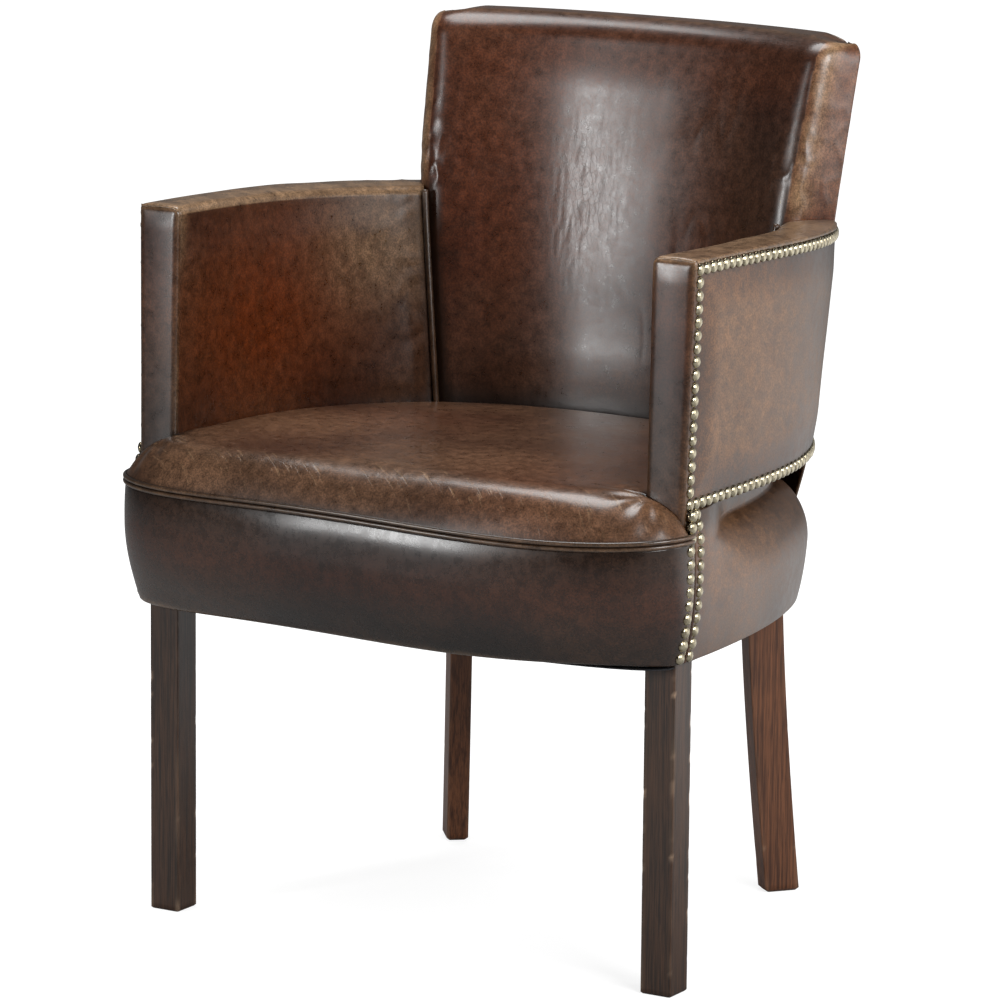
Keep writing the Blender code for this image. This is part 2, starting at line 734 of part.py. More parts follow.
def arm_post_rings(side, grow):
    """The front post of an arm, which stands on the front leg, grown for a slot."""
    shell = LEATHER + FIT
    rings = []
    for z in (RAIL_TOP + FIT - grow, arm_top(0.1) - shell - ARM_PAD - FIT):
        x0 = arm_outer(0.0, z, shell + FIT)[0] + grow
        x1 = x0 - POST_WIDE - 2 * grow
        y0 = max(arm_front(z) + shell, LEG_FRONT + FIT) - grow
        y1 = ARM_FRONT + shell + POST_DEEP + grow
        rings.append(mirrored([(x0, y0, z), (x1, y0, z), (x1, y1, z), (x0, y1, z)], side))
    return rings


def facing(side, word):
    """The leather on the arm's front: the arm's own outline, cut to the seat at its foot."""
    foot_out = WELT_BOTTOM + WELT_HEIGHT + FACING_CLEAR
    edge = arm_section(0.0, SEAT_LINE + FACING_STEP, foot_out, 0.0, 0.0)
    half = len(edge) // 2 + 1
    left = edge[:half]
    right = edge[half:][::-1]
    left = resample(left, 9)
    right = resample(right, 9)
    rows = []
    for a, b in zip(left, right):
        row = [a + (b - a) * t for t in (0.0, 0.33, 0.67, 1.0)]
        rows.append(row)
    near = np.array(rows)
    far = near.copy()
    near[:, :, 1] = arm_front(near[:, :, 2]) - LEATHER / 2
    far[:, :, 1] = arm_front(far[:, :, 2]) + LEATHER
    near[:, 1:3, 1] -= FACING_CROWN
    slab(f"arm_front_facing_{word}", mirrored(near, side), mirrored(far, side), HIDE)


def resample(line, count):
    """A line of evenly spaced points along a polyline."""
    line = np.asarray(line, dtype=float)
    steps = np.linalg.norm(np.diff(line, axis=0), axis=1)
    run = np.concatenate([[0.0], np.cumsum(steps)])
    at = np.linspace(0.0, run[-1], count)
    return np.column_stack([np.interp(at, run, line[:, k]) for k in range(line.shape[1])])


def panel_nails(side, low):
    """Nails of one arm panel: a front column, a top row and a bottom row."""
    front = NAIL_FRONT / (SEAM_AT_ARM + SEAM_DEPTH_ARM)
    dense = np.linspace(front, ROW_REACH, 200)
    top_row = resample([arm_outer(s, arm_top(s) - PANEL_LIP - NAIL_TOP) for s in dense], 400)
    low_row = resample([arm_outer(s, low + NAIL_INSET) for s in dense], 400)
    column = resample([low_row[0], top_row[0]], 50)
    spots = []
    for line, skip in ((top_row, 0), (low_row, 1), (column, 1)):
        run = np.linalg.norm(np.diff(line, axis=0), axis=1).sum()
        count = int(round(run / NAIL_PITCH))
        places = resample(line, count + 1)
        last = len(places) - 1 if line is column else len(places)
        for k in range(skip, last):
            spot = places[k]
            ahead = places[min(k + 1, count)] - places[max(k - 1, 0)]
            if line is column:
                ahead = top_row[4] - top_row[0]
            out = np.array([ahead[1], -ahead[0], 0.0])
            spots.append((mirrored(spot, side), mirrored(out / np.linalg.norm(out), side)))
    return spots


def back_levels():
    """Heights shared by the back's cover, pad and straps, so that none cuts through another."""
    low = np.linspace(SEAT_LINE, ARM_HEIGHT, 4)[1:]
    high = np.linspace(ARM_HEIGHT, HEIGHT - TOP_ROLL, 4)[1:]
    return [SEAT_LINE + FIT, *low, *high]


def build_back():
    """The back's inside cover, end facings, outside cover, pad, straps, posts and rails."""
    shell = LEATHER + FIT
    columns = np.linspace(-1.0, 1.0, 15)
    rows = [back_row(columns, z, 0.0, 0.0) for z in back_levels()]
    for k in range(1, 4):
        turn = 0.5 * math.pi * k / 3
        drop, roll = TOP_ROLL * (1.0 - math.sin(turn)), TOP_ROLL * (1.0 - math.cos(turn))
        rows.append(back_row(columns, HEIGHT - drop, roll, 0.0))
    last = back_row(columns, HEIGHT, 0.0, 0.0)
    last[:, 1] = back_rear(last[:, 0], HEIGHT) - LEATHER - FIT
    rows.append(last)
    sheet("back_inside_cover", rows, (0.0, back_rear(0.0, ARM_HEIGHT), ARM_HEIGHT), HIDE)

    rows = []
    foot, arm_end, top = BAND_BOTTOM + OUTSIDE_LIFT, arm_top(1.0), HEIGHT - shell
    levels = [foot, (foot + DRUM_BULGE_AT) / 2, DRUM_BULGE_AT, (DRUM_BULGE_AT + 2 * SEAT_LINE) / 3, SEAT_LINE]
    levels += [(SEAT_LINE + arm_end) / 2, arm_end, (arm_end + top) / 2, top]
    for z in levels:
        wide = outside_half(z)
        x = np.linspace(-wide, wide, 13)
        y = outside_depth(x, z)
        rows.append(np.column_stack([x, y, np.full(13, z)]))
    sheet("back_outside_cover", rows, (0.0, 0.0, ARM_HEIGHT), HIDE)

    for side, word in ((1.0, "right"), (-1.0, "left")):
        end_facing(side, word)
        seam_welt(side, word)
        back_post(side, word)

    rows_front, rows_rear = [], []
    for z in [SEAT_LINE + 2 * FIT] + back_levels()[1:]:
        front = back_row(columns, z, shell + 3 * FIT, PAD_NARROW)
        rear = front.copy()
        rear[:, 1] += BACK_PAD
        rows_front.append(front)
        rows_rear.append(rear)
    slab("back_pad", rows_front, rows_rear, FOAM)

    heights = (HEIGHT - BACK_RAIL_DROP, SEAT_LINE + BACK_RAIL_LIFT)
    for name, z in zip(("back_top_rail", "back_lower_rail"), heights):
        rings = []
        reach = post_x(z) - BACK_POST / 2 - FIT
        edges = [k * STRAP_STEP + h * STRAP_WIDE / 2 for k in (-1, 0, 1) for h in (-1, 1)]
        for x in (-reach, *edges, reach):
            ring = []
            for dz, rear in ((0.0, False), (BACK_RAIL, False), (BACK_RAIL, True), (0.0, True)):
                y = strap_face(x, z + dz) + 2 * FIT + STRAP_THICK + (BACK_RAIL_DEEP if rear else 0.0)
                ring.append((x, y, z + dz))
            rings.append(ring)
        loft(name, rings, FRAME_WOOD)

    for k, word in ((-1, "left"), (0, "middle"), (1, "right")):
        rings = []
        for z in [SEAT_LINE + STRAP_LIFT] + back_levels()[1:-1] + [HEIGHT - STRAP_DROP]:
            ring = []
            for dx, dy in ((-0.5, 0.0), (0.5, 0.0), (0.5, 1.0), (-0.5, 1.0)):
                x = k * STRAP_STEP + dx * STRAP_WIDE
                ring.append((x, strap_face(x, z) + dy * STRAP_THICK, z))
            rings.append(ring)
        loft(f"back_webbing_{word}", rings, JUTE)


def back_row(columns, z, roll, narrow):
    """A row of points across the back's front face, pushed back by roll."""
    edge = seam_in(z)[0] - LEATHER - 2 * FIT - narrow
    x = columns * edge
    return np.column_stack([x, back_front(x, z) + roll, np.full(len(x), z)])


def strap_face(x, z):
    """Depth of the front of the straps, close behind the back pad."""
    return back_front(x, z) + LEATHER + BACK_PAD + STRAP_CLEAR


def outside_half(z):
    """Half width of the outside back, narrower between the rear legs."""
    if z > SEAT_LINE:
        above_arm = min((z - SEAT_LINE) / (arm_top(1.0) - SEAT_LINE), 1.0)
        return seam_out(z)[0] - 2 * FIT - (LEATHER + 2 * FIT) * above_arm
    share = (z - BAND_BOTTOM) / (SEAT_LINE - BAND_BOTTOM)
    return OUTSIDE_FOOT + (seam_out(SEAT_LINE)[0] - OUTSIDE_FOOT) * share - 2 * FIT


def outside_depth(x, z):
    """Depth of the outside back, which clears the drum below the seat line."""
    drum = drum_outline(min(z, DRUM_BULGE_AT), -OUTSIDE_CLEAR, 400)
    drum = drum[drum[:, 1] > 0.0]
    drum = drum[np.argsort(drum[:, 0])]
    on_drum = np.interp(x, drum[:, 0], drum[:, 1])
    on_back = back_rear(x, max(z, SEAT_LINE))
    return np.maximum(on_drum, on_back) if z <= SEAT_LINE else on_back


def end_facing(side, word):
    """The leather on the back's end above the arm, from the front edge round the top."""
    low = arm_top(1.0) + FIT
    levels = list(np.linspace(low, HEIGHT - TOP_ROLL, 8))
    rows = []
    for z in levels:
        rows.append(end_row(z, 0.0))
    for k in range(1, 4):
        turn = 0.5 * math.pi * k / 3
        rows.append(end_row(HEIGHT - TOP_ROLL * (1.0 - math.sin(turn)), TOP_ROLL * (1.0 - math.cos(turn))))
    near = np.array(rows)
    far = near.copy()
    far[:, :, 0] -= LEATHER
    slab(f"back_end_facing_{word}", mirrored(near, side), mirrored(far, side), HIDE)


def end_row(z, roll):
    """A row from the front to the rear edge of the back's end."""
    ax, ay = seam_in(z)
    bx, by = seam_out(z)
    share = np.linspace(0.0, 1.0, 4)
    start = roll / max(by - ay, 1e-6)
    share = start + (1.0 - start) * share
    share = share * END_REACH
    x = ax + (bx - ax) * share + END_CROWN * np.sin(math.pi * share)
    y = ay + (by - ay) * share
    return np.column_stack([x, y, np.full(4, z)])


def seam_welt(side, word):
    """The piping in the seam between the inside arm and the inside back."""
    curve = bpy.data.curves.new(f"seam_welt_{word}", "CURVE")
    curve.dimensions = "3D"
    curve.bevel_depth = SEAM_WELT / 2
    curve.bevel_resolution = 1
    curve.use_fill_caps = True
    curve.resolution_u = 1
    curve.render_resolution_u = 0
    line = curve.splines.new("POLY")
    levels = np.linspace(SEAT_LINE + WELT_LIFT, arm_top(1.0) - WELT_DROP, 10)
    line.points.add(len(levels) - 1)
    reach = SEAM_WELT / 2 + 2 * FIT
    for point, z in zip(line.points, levels):
        x, y = seam_in(z)
        spot = mirrored([x - 0.72 * reach, y - 0.69 * reach, z], side)
        point.co = (*spot, 1.0)
    made = bpy.data.objects.new(f"seam_welt_{word}", curve)
    curve.materials.append(HIDE)
    CHAIR.objects.link(made)


def post_x(z):
    """Place of the back posts across the chair."""
    places = [SABRE_TOP_X - POST_SET_FOOT, SEAM_IN_SEAT - POST_SET_SEAT, SEAM_IN_TOP - POST_SET_TOP]
    return np.interp(z, [RAIL_TOP, SEAT_LINE, HEIGHT], places)


def back_post(side, word):
    """A back post, from the rear leg's top to the top rail."""
    loft(f"back_post_{word}", back_post_rings(side, 0.0), FRAME_WOOD)


def back_post_rings(side, grow):
    """The back post's sections, grown for a slot."""
    rings = []
    half = BACK_POST / 2 + grow
    levels = [RAIL_TOP + FIT - grow, (RAIL_TOP + SEAT_LINE) / 2, *np.linspace(SEAT_LINE, ARM_HEIGHT, 4)]
    levels += [(ARM_HEIGHT + HEIGHT - TOP_ROLL) / 2, HEIGHT - TOP_ROLL]
    for z in levels:
        x = post_x(z)
        level = max(z, SEAT_LINE)
        front = max(back_front(x + half, level), back_front(x - half, level))
        front += LEATHER + BACK_PAD + 6 * FIT - grow
        rear = min(back_rear(x + half, level), back_rear(x - half, level)) - LEATHER - 8 * FIT
        rear = min(rear, front + BACK_POST_DEEP) + grow
        ring = [(x - half, front, z), (x + half, front, z), (x + half, rear, z), (x - half, rear, z)]
        rings.append(mirrored(ring, side))
    return rings


def sabre_ring(z, side, grow=0.0):
    """The rear leg's section at a height: a turned rectangle that sweeps out towards the foot."""
    fall = np.clip((BAND_BOTTOM - z) / BAND_BOTTOM, 0.0, 1.0)
    along = np.array([math.cos(SABRE_TURN), math.sin(SABRE_TURN)])
    across = np.array([-along[1], along[0]])
    centre = np.array([SABRE_TOP_X, SABRE_TOP_Y]) + along * SABRE_SWEEP * fall ** SABRE_POWER
    wide = SABRE_WIDE + (SABRE_FOOT - SABRE_WIDE) * fall
    ring = []
    for a, b in ((-1, -1), (1, -1), (1, 1), (-1, 1)):
        spot = centre + along * a * (wide / 2 + grow) + across * b * (SABRE_THICK / 2 + grow)
        ring.append((*spot, z))
    return mirrored(ring, side)


def build_legs():
    """Square front legs and sabre rear legs, both up to the tops of the rails."""
    for side, word in ((1.0, "right"), (-1.0, "left")):
        bpy.ops.mesh.primitive_cube_add(size=1.0)
        leg = bpy.context.object
        leg.name = f"leg_front_{word}"
        leg.data.name = leg.name
        for vertex in leg.data.vertices:
            x, y, z = vertex.co
            low = z < 0
            vertex.co = (x * LEG, y * LEG, 0.0 if low else RAIL_TOP)
        leg.location = (side * (LEG_OUT - LEG / 2), LEG_FRONT + LEG / 2, 0.0)
        edges = leg.modifiers.new("eased_edges", "BEVEL")
        edges.width = LEG_EDGE
        edges.segments = 1
        leg.data.materials.append(WOOD)
        for owner in list(leg.users_collection):
            owner.objects.unlink(leg)
        CHAIR.objects.link(leg)

        rings = [sabre_ring(0.0, side, -FOOT_EDGE)]
        for z in (*np.linspace(FOOT_EDGE, BAND_BOTTOM, 9), RAIL_TOP):
            rings.append(sabre_ring(z, side))
        loft(f"leg_rear_{word}", rings, WOOD)


def rail_line(inset, cut_start, cut_end):
    """The drum's bottom outline drawn in, trimmed between two planes given as point and normal."""
    line = drum_outline(BAND_BOTTOM, inset, 1600)
    keep = []
    for p in line:
        if np.dot(p - cut_start[0], cut_start[1]) > 0 and np.dot(p - cut_end[0], cut_end[1]) > 0:
            keep.append(p)
    return np.array(keep)


def build_rails():
    """Seat rails between the legs, and blocks across their corners."""
    skin = LEATHER + RAIL_CLEAR
    leg_in = LEG_OUT - LEG - FIT
    rings = []
    for x in np.linspace(-leg_in, leg_in, 11):
        outer = front_rail_face(x)
        rings.append(rail_ring(np.array([x, outer]), np.array([x, outer + RAIL_THICK])))
    loft("seat_rail_front", rings, FRAME_WOOD)

    along = np.array([math.cos(SABRE_TURN), math.sin(SABRE_TURN)])
    across = np.array([-along[1], along[0]])
    leg_centre = np.array([SABRE_TOP_X, SABRE_TOP_Y])
    front_face = (leg_centre - across * (SABRE_THICK / 2 + FIT), -across)
    rear_face = (leg_centre + across * (SABRE_THICK / 2 + FIT), across)
    behind_leg = (np.array([0.0, LEG_FRONT + LEG + FIT]), np.array([0.0, 1.0]))
    right_half = (np.array([0.0, 0.0]), np.array([1.0, 0.0]))
    outer = side_part(rail_line(skin, behind_leg, front_face))
    inner = side_part(rail_line(skin + RAIL_THICK, behind_leg, front_face))
    outer, inner = resample(outer, 11), resample(inner, 11)
    for side, word in ((1.0, "right"), (-1.0, "left")):
        rings = [mirrored(rail_ring(a, b), side) for a, b in zip(outer, inner)]
        loft(f"seat_rail_{word}", rings, FRAME_WOOD)

    outer = rear_part(rail_line(skin, rear_face, right_half))
    inner = rear_part(rail_line(skin + RAIL_THICK, rear_face, right_half))
    outer, inner = resample(outer, 6), resample(inner, 6)
    outer[-1, 0] = 0.0
    inner[-1, 0] = 0.0
    outer = np.concatenate([outer, outer[-2::-1] * np.array([-1.0, 1.0])])
    inner = np.concatenate([inner, inner[-2::-1] * np.array([-1.0, 1.0])])
    loft("seat_rail_rear", [rail_ring(a, b) for a, b in zip(outer, inner)], FRAME_WOOD)
    for side, word in ((1.0, "right"), (-1.0, "left")):
        front_block(side, word)
        rear_block(side, word)


def front_block(side, word):
    """A glue block in a front corner, between the front rail, the leg and the side rail."""
    leg_in = LEG_OUT - LEG - 2 * FIT
    inner = []
    for x in (BLOCK_REACH, leg_in):
        inner.append((x, front_rail_face(x) + RAIL_THICK + 3 * FIT))
    behind = LEG_FRONT + LEG + 2 * FIT
    rail_x = drum_outline(BAND_BOTTOM, LEATHER + RAIL_CLEAR + RAIL_THICK + 2 * FIT, 400)
    rail_x = side_part(rail_x)
    near = np.interp(behind + BLOCK_THICK, rail_x[:, 1], rail_x[:, 0])
    flat = inner + [(leg_in, behind), (near, behind), (near, behind + BLOCK_THICK)]
    rings = [mirrored([(x, y, z) for x, y in flat], side) for z in block_levels()]
    loft(f"corner_block_front_{word}", rings, FRAME_WOOD)


def rear_block(side, word):
    """A glue block on the inner end of a rear leg, with wings towards both rails."""
    along = np.array([math.cos(SABRE_TURN), math.sin(SABRE_TURN)])
    across = np.array([-along[1], along[0]])
    centre = np.array([SABRE_TOP_X, SABRE_TOP_Y])
    end = -SABRE_WIDE / 2 - FIT
    deep = end - BLOCK_THICK
    flat = [(end, -BLOCK_WING), (end, BLOCK_WING), (deep, BLOCK_WING / 2), (deep, -BLOCK_WING / 2)]
    spots = [centre + along * a + across * c for a, c in flat]
    rings = [mirrored([(*spot, z) for spot in spots], side) for z in block_levels()]
    loft(f"corner_block_rear_{word}", rings, FRAME_WOOD)


def block_levels():
    """Foot and top of the glue blocks."""
    return RAIL_BOTTOM + BLOCK_LIFT, RAIL_TOP - BLOCK_DROP


def build_dust_cover():
    """The black cloth under the seat, cut out round the legs."""
    line = drum_outline(BAND_BOTTOM, LEATHER + 2 * RAIL_CLEAR, 48)
    low, high = RAIL_BOTTOM - FIT - LINING, RAIL_BOTTOM - FIT
    rings = [[(x, y, z) for x, y in line] for z in (low, high)]
    cloth = loft("dust_cover", rings, CAMBRIC)
    grow = 2 * FIT
    for side in (1.0, -1.0):
        x1, x0 = LEG_OUT + grow, LEG_OUT - LEG - grow
        y0, y1 = LEG_FRONT - grow, LEG_FRONT + LEG + grow
        ring = [(x0, y0), (x1, y0), (x1, y1), (x0, y1)]
        rings = [mirrored([(x, y, z) for x, y in ring], side) for z in (low - CUT_SPARE, high + CUT_SPARE)]
        cut_by(cloth, loft_cutter("leg_notch", rings))
        rings = [sabre_ring(z, side, grow) for z in (low - CUT_SPARE, high + CUT_SPARE)]
        cut_by(cloth, loft_cutter("leg_notch", rings))


def side_part(line):
    """The points of a line on the right and behind the front legs, from front to rear."""
    line = line[(line[:, 0] > 0.0) & (line[:, 1] > ARM_FRONT)]
    return line[np.argsort(line[:, 1] - line[:, 0])]


def rear_part(line):
    """The points of a line round the right half of the rear, from the leg to the middle."""
    line = line[line[:, 1] > 0.0]
    return line[np.argsort(-line[:, 0])]


def rail_ring(outer, inner):
    """The four corners of a rail's section."""
    ring = []
    for spot, z in ((outer, RAIL_BOTTOM), (outer, RAIL_TOP), (inner, RAIL_TOP), (inner, RAIL_BOTTOM)):
        ring.append((spot[0], spot[1], z))
    return ring


def build_springs():
    """Zigzag springs from the front rail to the rear rail."""
    for k in range(SPRING_COUNT):
        x0 = (k - (SPRING_COUNT - 1) / 2) * SPRING_STEP
        start = front_rail_face(x0) + RAIL_THICK / 2
        rear = drum_outline(BAND_BOTTOM, LEATHER + FIT + RAIL_THICK / 2, 1600)
        rear = rear[rear[:, 1] > 0.0]
        rear = rear[np.argsort(rear[:, 0])]
        end = np.interp(x0, rear[:, 0], rear[:, 1])
        count = int(round((end - start) / SPRING_PITCH)) * 4
        curve = bpy.data.curves.new(f"seat_spring_{k + 1}", "CURVE")
        curve.dimensions = "3D"
        curve.bevel_depth = SPRING_WIRE / 2
        curve.bevel_resolution = 0
        curve.use_fill_caps = True
        curve.resolution_u = 1
        curve.render_resolution_u = 0
        line = curve.splines.new("POLY")
        line.points.add(count)
        step = (end - start) / count
        for i, point in enumerate(line.points):
            reach = SPRING_SWING * (1.0 if i // 2 % 2 == 0 else -1.0)
            if i in (0, count):
                reach = 0.0
            point.co = (x0 + reach, start + step * i, RAIL_TOP + FIT + SPRING_WIRE / 2, 1.0)
        made = bpy.data.objects.new(f"seat_spring_{k + 1}", curve)
        curve.materials.append(STEEL)
        CHAIR.objects.link(made)


def main():
    """Builds the chair."""
    build_legs()
    build_rails()
    build_springs()
    build_dust_cover()
    build_seat()
    for side, word in ((1.0, "right"), (-1.0, "left")):
        build_arm(side, word)
    build_back()


main()
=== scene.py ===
"""The looks of a worn leather club chair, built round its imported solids.

Lengths are in metres and +Z is up. The chair faces -Y, and +X is the right of a viewer who faces it.
Every surface is worked out on a grid of two parameters with numpy and put into a mesh.
"""
from __future__ import annotations

import logging
import math
from dataclasses import dataclass
from enum import Enum

import bpy
import numpy as np
from mathutils import Matrix, Vector

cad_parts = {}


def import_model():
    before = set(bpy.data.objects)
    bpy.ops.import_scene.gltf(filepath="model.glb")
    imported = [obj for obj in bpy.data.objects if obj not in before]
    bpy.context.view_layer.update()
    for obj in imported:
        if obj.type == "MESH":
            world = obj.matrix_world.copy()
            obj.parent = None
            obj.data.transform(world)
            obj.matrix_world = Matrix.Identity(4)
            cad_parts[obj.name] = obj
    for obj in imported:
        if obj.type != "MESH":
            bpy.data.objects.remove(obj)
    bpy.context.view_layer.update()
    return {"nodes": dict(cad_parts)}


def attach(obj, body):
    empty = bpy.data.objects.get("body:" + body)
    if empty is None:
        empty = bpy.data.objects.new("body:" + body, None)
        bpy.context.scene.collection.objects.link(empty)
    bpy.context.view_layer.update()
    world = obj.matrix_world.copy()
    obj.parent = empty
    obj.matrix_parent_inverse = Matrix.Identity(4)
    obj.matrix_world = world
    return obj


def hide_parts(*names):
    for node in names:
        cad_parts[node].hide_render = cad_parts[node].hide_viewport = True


LOG = logging.getLogger("club_chair")
ROOT = "root"
MM = 0.001


class Side(Enum):
    """The two hands of the chair, with the sign of x on each."""

    LEFT = -1.0
    RIGHT = 1.0

    @property
    def word(self) -> str:
        """The side's name as it stands in the names of nodes and pieces."""
        return self.name.lower()


def smooth_step(value: np.ndarray, low: float, high: float) -> np.ndarray:
    """A smooth rise from 0 at low to 1 at high: t squared times (3 - 2t).

    Args:
        value: Numbers to turn into shares.
        low: Where the rise starts.
        high: Where it ends; below low for a fall.

    Returns:
        Shares from 0 to 1.
    """
    t = np.clip((np.asarray(value, dtype=float) - low) / (high - low), 0.0, 1.0)
    return t * t * (3.0 - 2.0 * t)


def bump(value: np.ndarray, centre: float, width: float) -> np.ndarray:
    """A bell: exp of minus the square of the distance from centre over width."""
    return np.exp(-(((np.asarray(value, dtype=float) - centre) / width) ** 2))


def lattice_noise(points: np.ndarray, cell: float | tuple[float, float, float], seed: int) -> np.ndarray:
    """Smooth noise: random values on the corners of a lattice, blended by smooth steps between them.

    Args:
        points: Places, with x, y and z last.
        cell: Size of the lattice's cells, in metres, or one size for each direction.
        seed: Number that picks the random values.

    Returns:
        Values from -1 to 1, one for each place.
    """
    size = 64
    values = np.random.default_rng(seed).uniform(-1.0, 1.0, (size, size, size))
    place = np.asarray(points, dtype=float) / np.asarray(cell, dtype=float) + 512.37
    base = np.floor(place).astype(int)
    t = place - base
    t = t * t * (3.0 - 2.0 * t)
    total = np.zeros(place.shape[:-1])
    for corner in np.ndindex(2, 2, 2):
        weight = np.ones(place.shape[:-1])
        for axis, step in enumerate(corner):
            weight = weight * (t[..., axis] if step else 1.0 - t[..., axis])
        index = [(base[..., axis] + corner[axis]) % size for axis in range(3)]
        total += weight * values[index[0], index[1], index[2]]
    return total


def folds(points: np.ndarray, cell: float | tuple[float, float, float], seed: int) -> np.ndarray:
    """Creased leather: one minus the noise's size, cubed, so that narrow ridges run along its zeros.

    Args:
        points: Places, with x, y and z last.
        cell: Spacing of the creases, in metres, or one for each direction.
        seed: Number that picks the pattern.

    Returns:
        Values from 0 on the flats to 1 on the ridges.
    """
    coarse = lattice_noise(points, cell, seed)
    fine = lattice_noise(points, np.asarray(cell) * 0.43, seed + 7)
    return (1.0 - np.abs(coarse + 0.35 * fine)).clip(0.0, 1.0) ** 3


@dataclass(frozen=True)
class ChairForm:
    """The chair's driving sizes, the same as those of its solids, and the surfaces they span."""

    height: float = 0.840
    arm_height: float = 0.686
    arm_drop: float = 0.018
    seat_line: float = 0.455
    seat_crown: float = 0.476
    welt_bottom: float = 0.4238
    welt_height: float = 0.0095
    band_bottom: float = 0.310
    rail_top: float = 0.372
    leather: float = 0.002
    fit: float = 0.0004
    arm_front: float = -0.1875
    arm_lean: float = 0.0070
    arm_out: float = 0.3025
    arm_out_lean: float = 0.005
    arm_in: float = 0.2570
    arm_bow_in: float = 3.0
    arm_bow_out: float = 3.8
    back_bow: float = 2.5
    back_at: tuple[float, float, float] = (0.380, 0.400, 0.4285)
    back_thick: tuple[float, float, float] = (0.073, 0.062, 0.042)
    seam_at: tuple[float, float, float] = (0.325, 0.345, 0.384)
    seam_depth: tuple[float, float, float] = (0.0425, 0.048, 0.046)
    seam_in_x: tuple[float, float, float] = (0.173, 0.203, 0.216)
    seam_out_x: tuple[float, float, float] = (0.220, 0.235, 0.240)
    soft_bend: float = 0.030
    top_roll: float = 0.022
    drum_out: float = 0.305
    drum_depth: float = 0.4435
    drum_power: float = 3.6
    drum_front_power: float = 2.6
    drum_taper: float = 0.3
    drum_bulge_at: float = 0.388
    drum_tuck: float = 0.0095
    drum_shoulder: float = 0.030
    shoulder_power: float = 3.6
    shoulder_cut: float = 0.060
    shoulder_from: float = 0.3645
    shoulder_rise: float = 0.062
    seat_bow: float = 0.095
    seat_bow_bottom: float = 0.060

    def between(self, z: np.ndarray, sizes: tuple[float, float, float]) -> np.ndarray:
        """A size given at the seat, the arms and the top, with a soft bend at the arms.

        It is a straight line below the arms, and above them the change of slope times half of
        (t + root of (t squared + bend squared)) is added, where t is the height above the arms.

        Args:
            z: Heights.
            sizes: The size at the seat, at the arms and at the top.

        Returns:
            The size at each height.
        """
        seat, arm, top = sizes
        low = (arm - seat) / (self.arm_height - self.seat_line)
        high = (top - arm) / (self.height - self.arm_height)
        t = np.asarray(z, dtype=float) - self.arm_height
        return arm + low * t + (high - low) * 0.5 * (t + np.sqrt(t * t + self.soft_bend**2))

    def seam_in(self, z: np.ndarray) -> tuple[np.ndarray, np.ndarray]:
        """The inner edge, x and y, of the plane where the arm ends and the back begins."""
        return self.between(z, self.seam_in_x), self.arm_front + self.between(z, self.seam_at)

    def seam_out(self, z: np.ndarray) -> tuple[np.ndarray, np.ndarray]:
        """The outer edge, x and y, of that plane."""
        return self.between(z, self.seam_out_x), self.seam_in(z)[1] + self.between(z, self.seam_depth)

    def back_front(self, x: np.ndarray, z: np.ndarray) -> np.ndarray:
        """Depth of the back's front: it falls forward by a power of the distance from the middle.

        Args:
            x: Places across.
            z: Heights.

        Returns:
            y of the leather.
        """
        edge_x, edge_y = self.seam_in(z)
        middle = self.arm_front + self.between(z, self.back_at)
        return middle - (middle - edge_y) * np.minimum(np.abs(x) / edge_x, 1.1) ** self.back_bow

    def back_rear(self, x: np.ndarray, z: np.ndarray) -> np.ndarray:
        """Depth of the back's rear face, by the same rule as its front.

        Args:
            x: Places across.
            z: Heights.

        Returns:
            y of the face.
        """
        edge_x, edge_y = self.seam_out(z)
        middle = self.arm_front + self.between(z, self.back_at) + self.between(z, self.back_thick)
        return middle - (middle - edge_y) * np.minimum(np.abs(x) / edge_x, 1.1) ** self.back_bow

    def front_of_arm(self, z: np.ndarray) -> np.ndarray:
        """Depth of the arm's front, which leans forward towards the seat."""
        return self.arm_front - self.arm_lean * (self.arm_height - z) / (self.arm_height - self.welt_bottom)

    def arm_face(self, share: np.ndarray, z: np.ndarray, outer: bool, inset: float = 0.0) -> np.ndarray:
        """Points of an arm's face: straight at its front, bent to the seam by a power of the share.

        Args:
            share: Place along the arm, 0 at its front and 1 at the seam.
            z: Heights.
            outer: Whether it is the outside face.
            inset: Distance moved into the arm, along the face's level normal.

        Returns:
            Points of the right arm.
        """
        share, z = np.broadcast_arrays(np.asarray(share, dtype=float), np.asarray(z, dtype=float))
        lean = self.arm_out_lean * (self.arm_height - z) / (self.arm_height - self.welt_bottom)
        start_x = self.arm_out - lean if outer else self.arm_in
        edge_x, edge_y = self.seam_out(z) if outer else self.seam_in(z)
        bow = self.arm_bow_out if outer else self.arm_bow_in
        front = self.front_of_arm(z)
        run = edge_y - front
        x = start_x - (start_x - edge_x) * share**bow
        slope = -(start_x - edge_x) * bow * share ** (bow - 1.0)
        size = np.hypot(run, slope)
        signed = inset if outer else -inset
        return np.stack([x - run / size * signed, front + run * share + slope / size * signed, z], axis=-1)

    def arm_top(self, share: np.ndarray) -> np.ndarray:
        """Height of the arm's top, which falls to the back by the share to the power 1.5."""
        return self.arm_height - self.arm_drop * np.asarray(share, dtype=float) ** 1.5

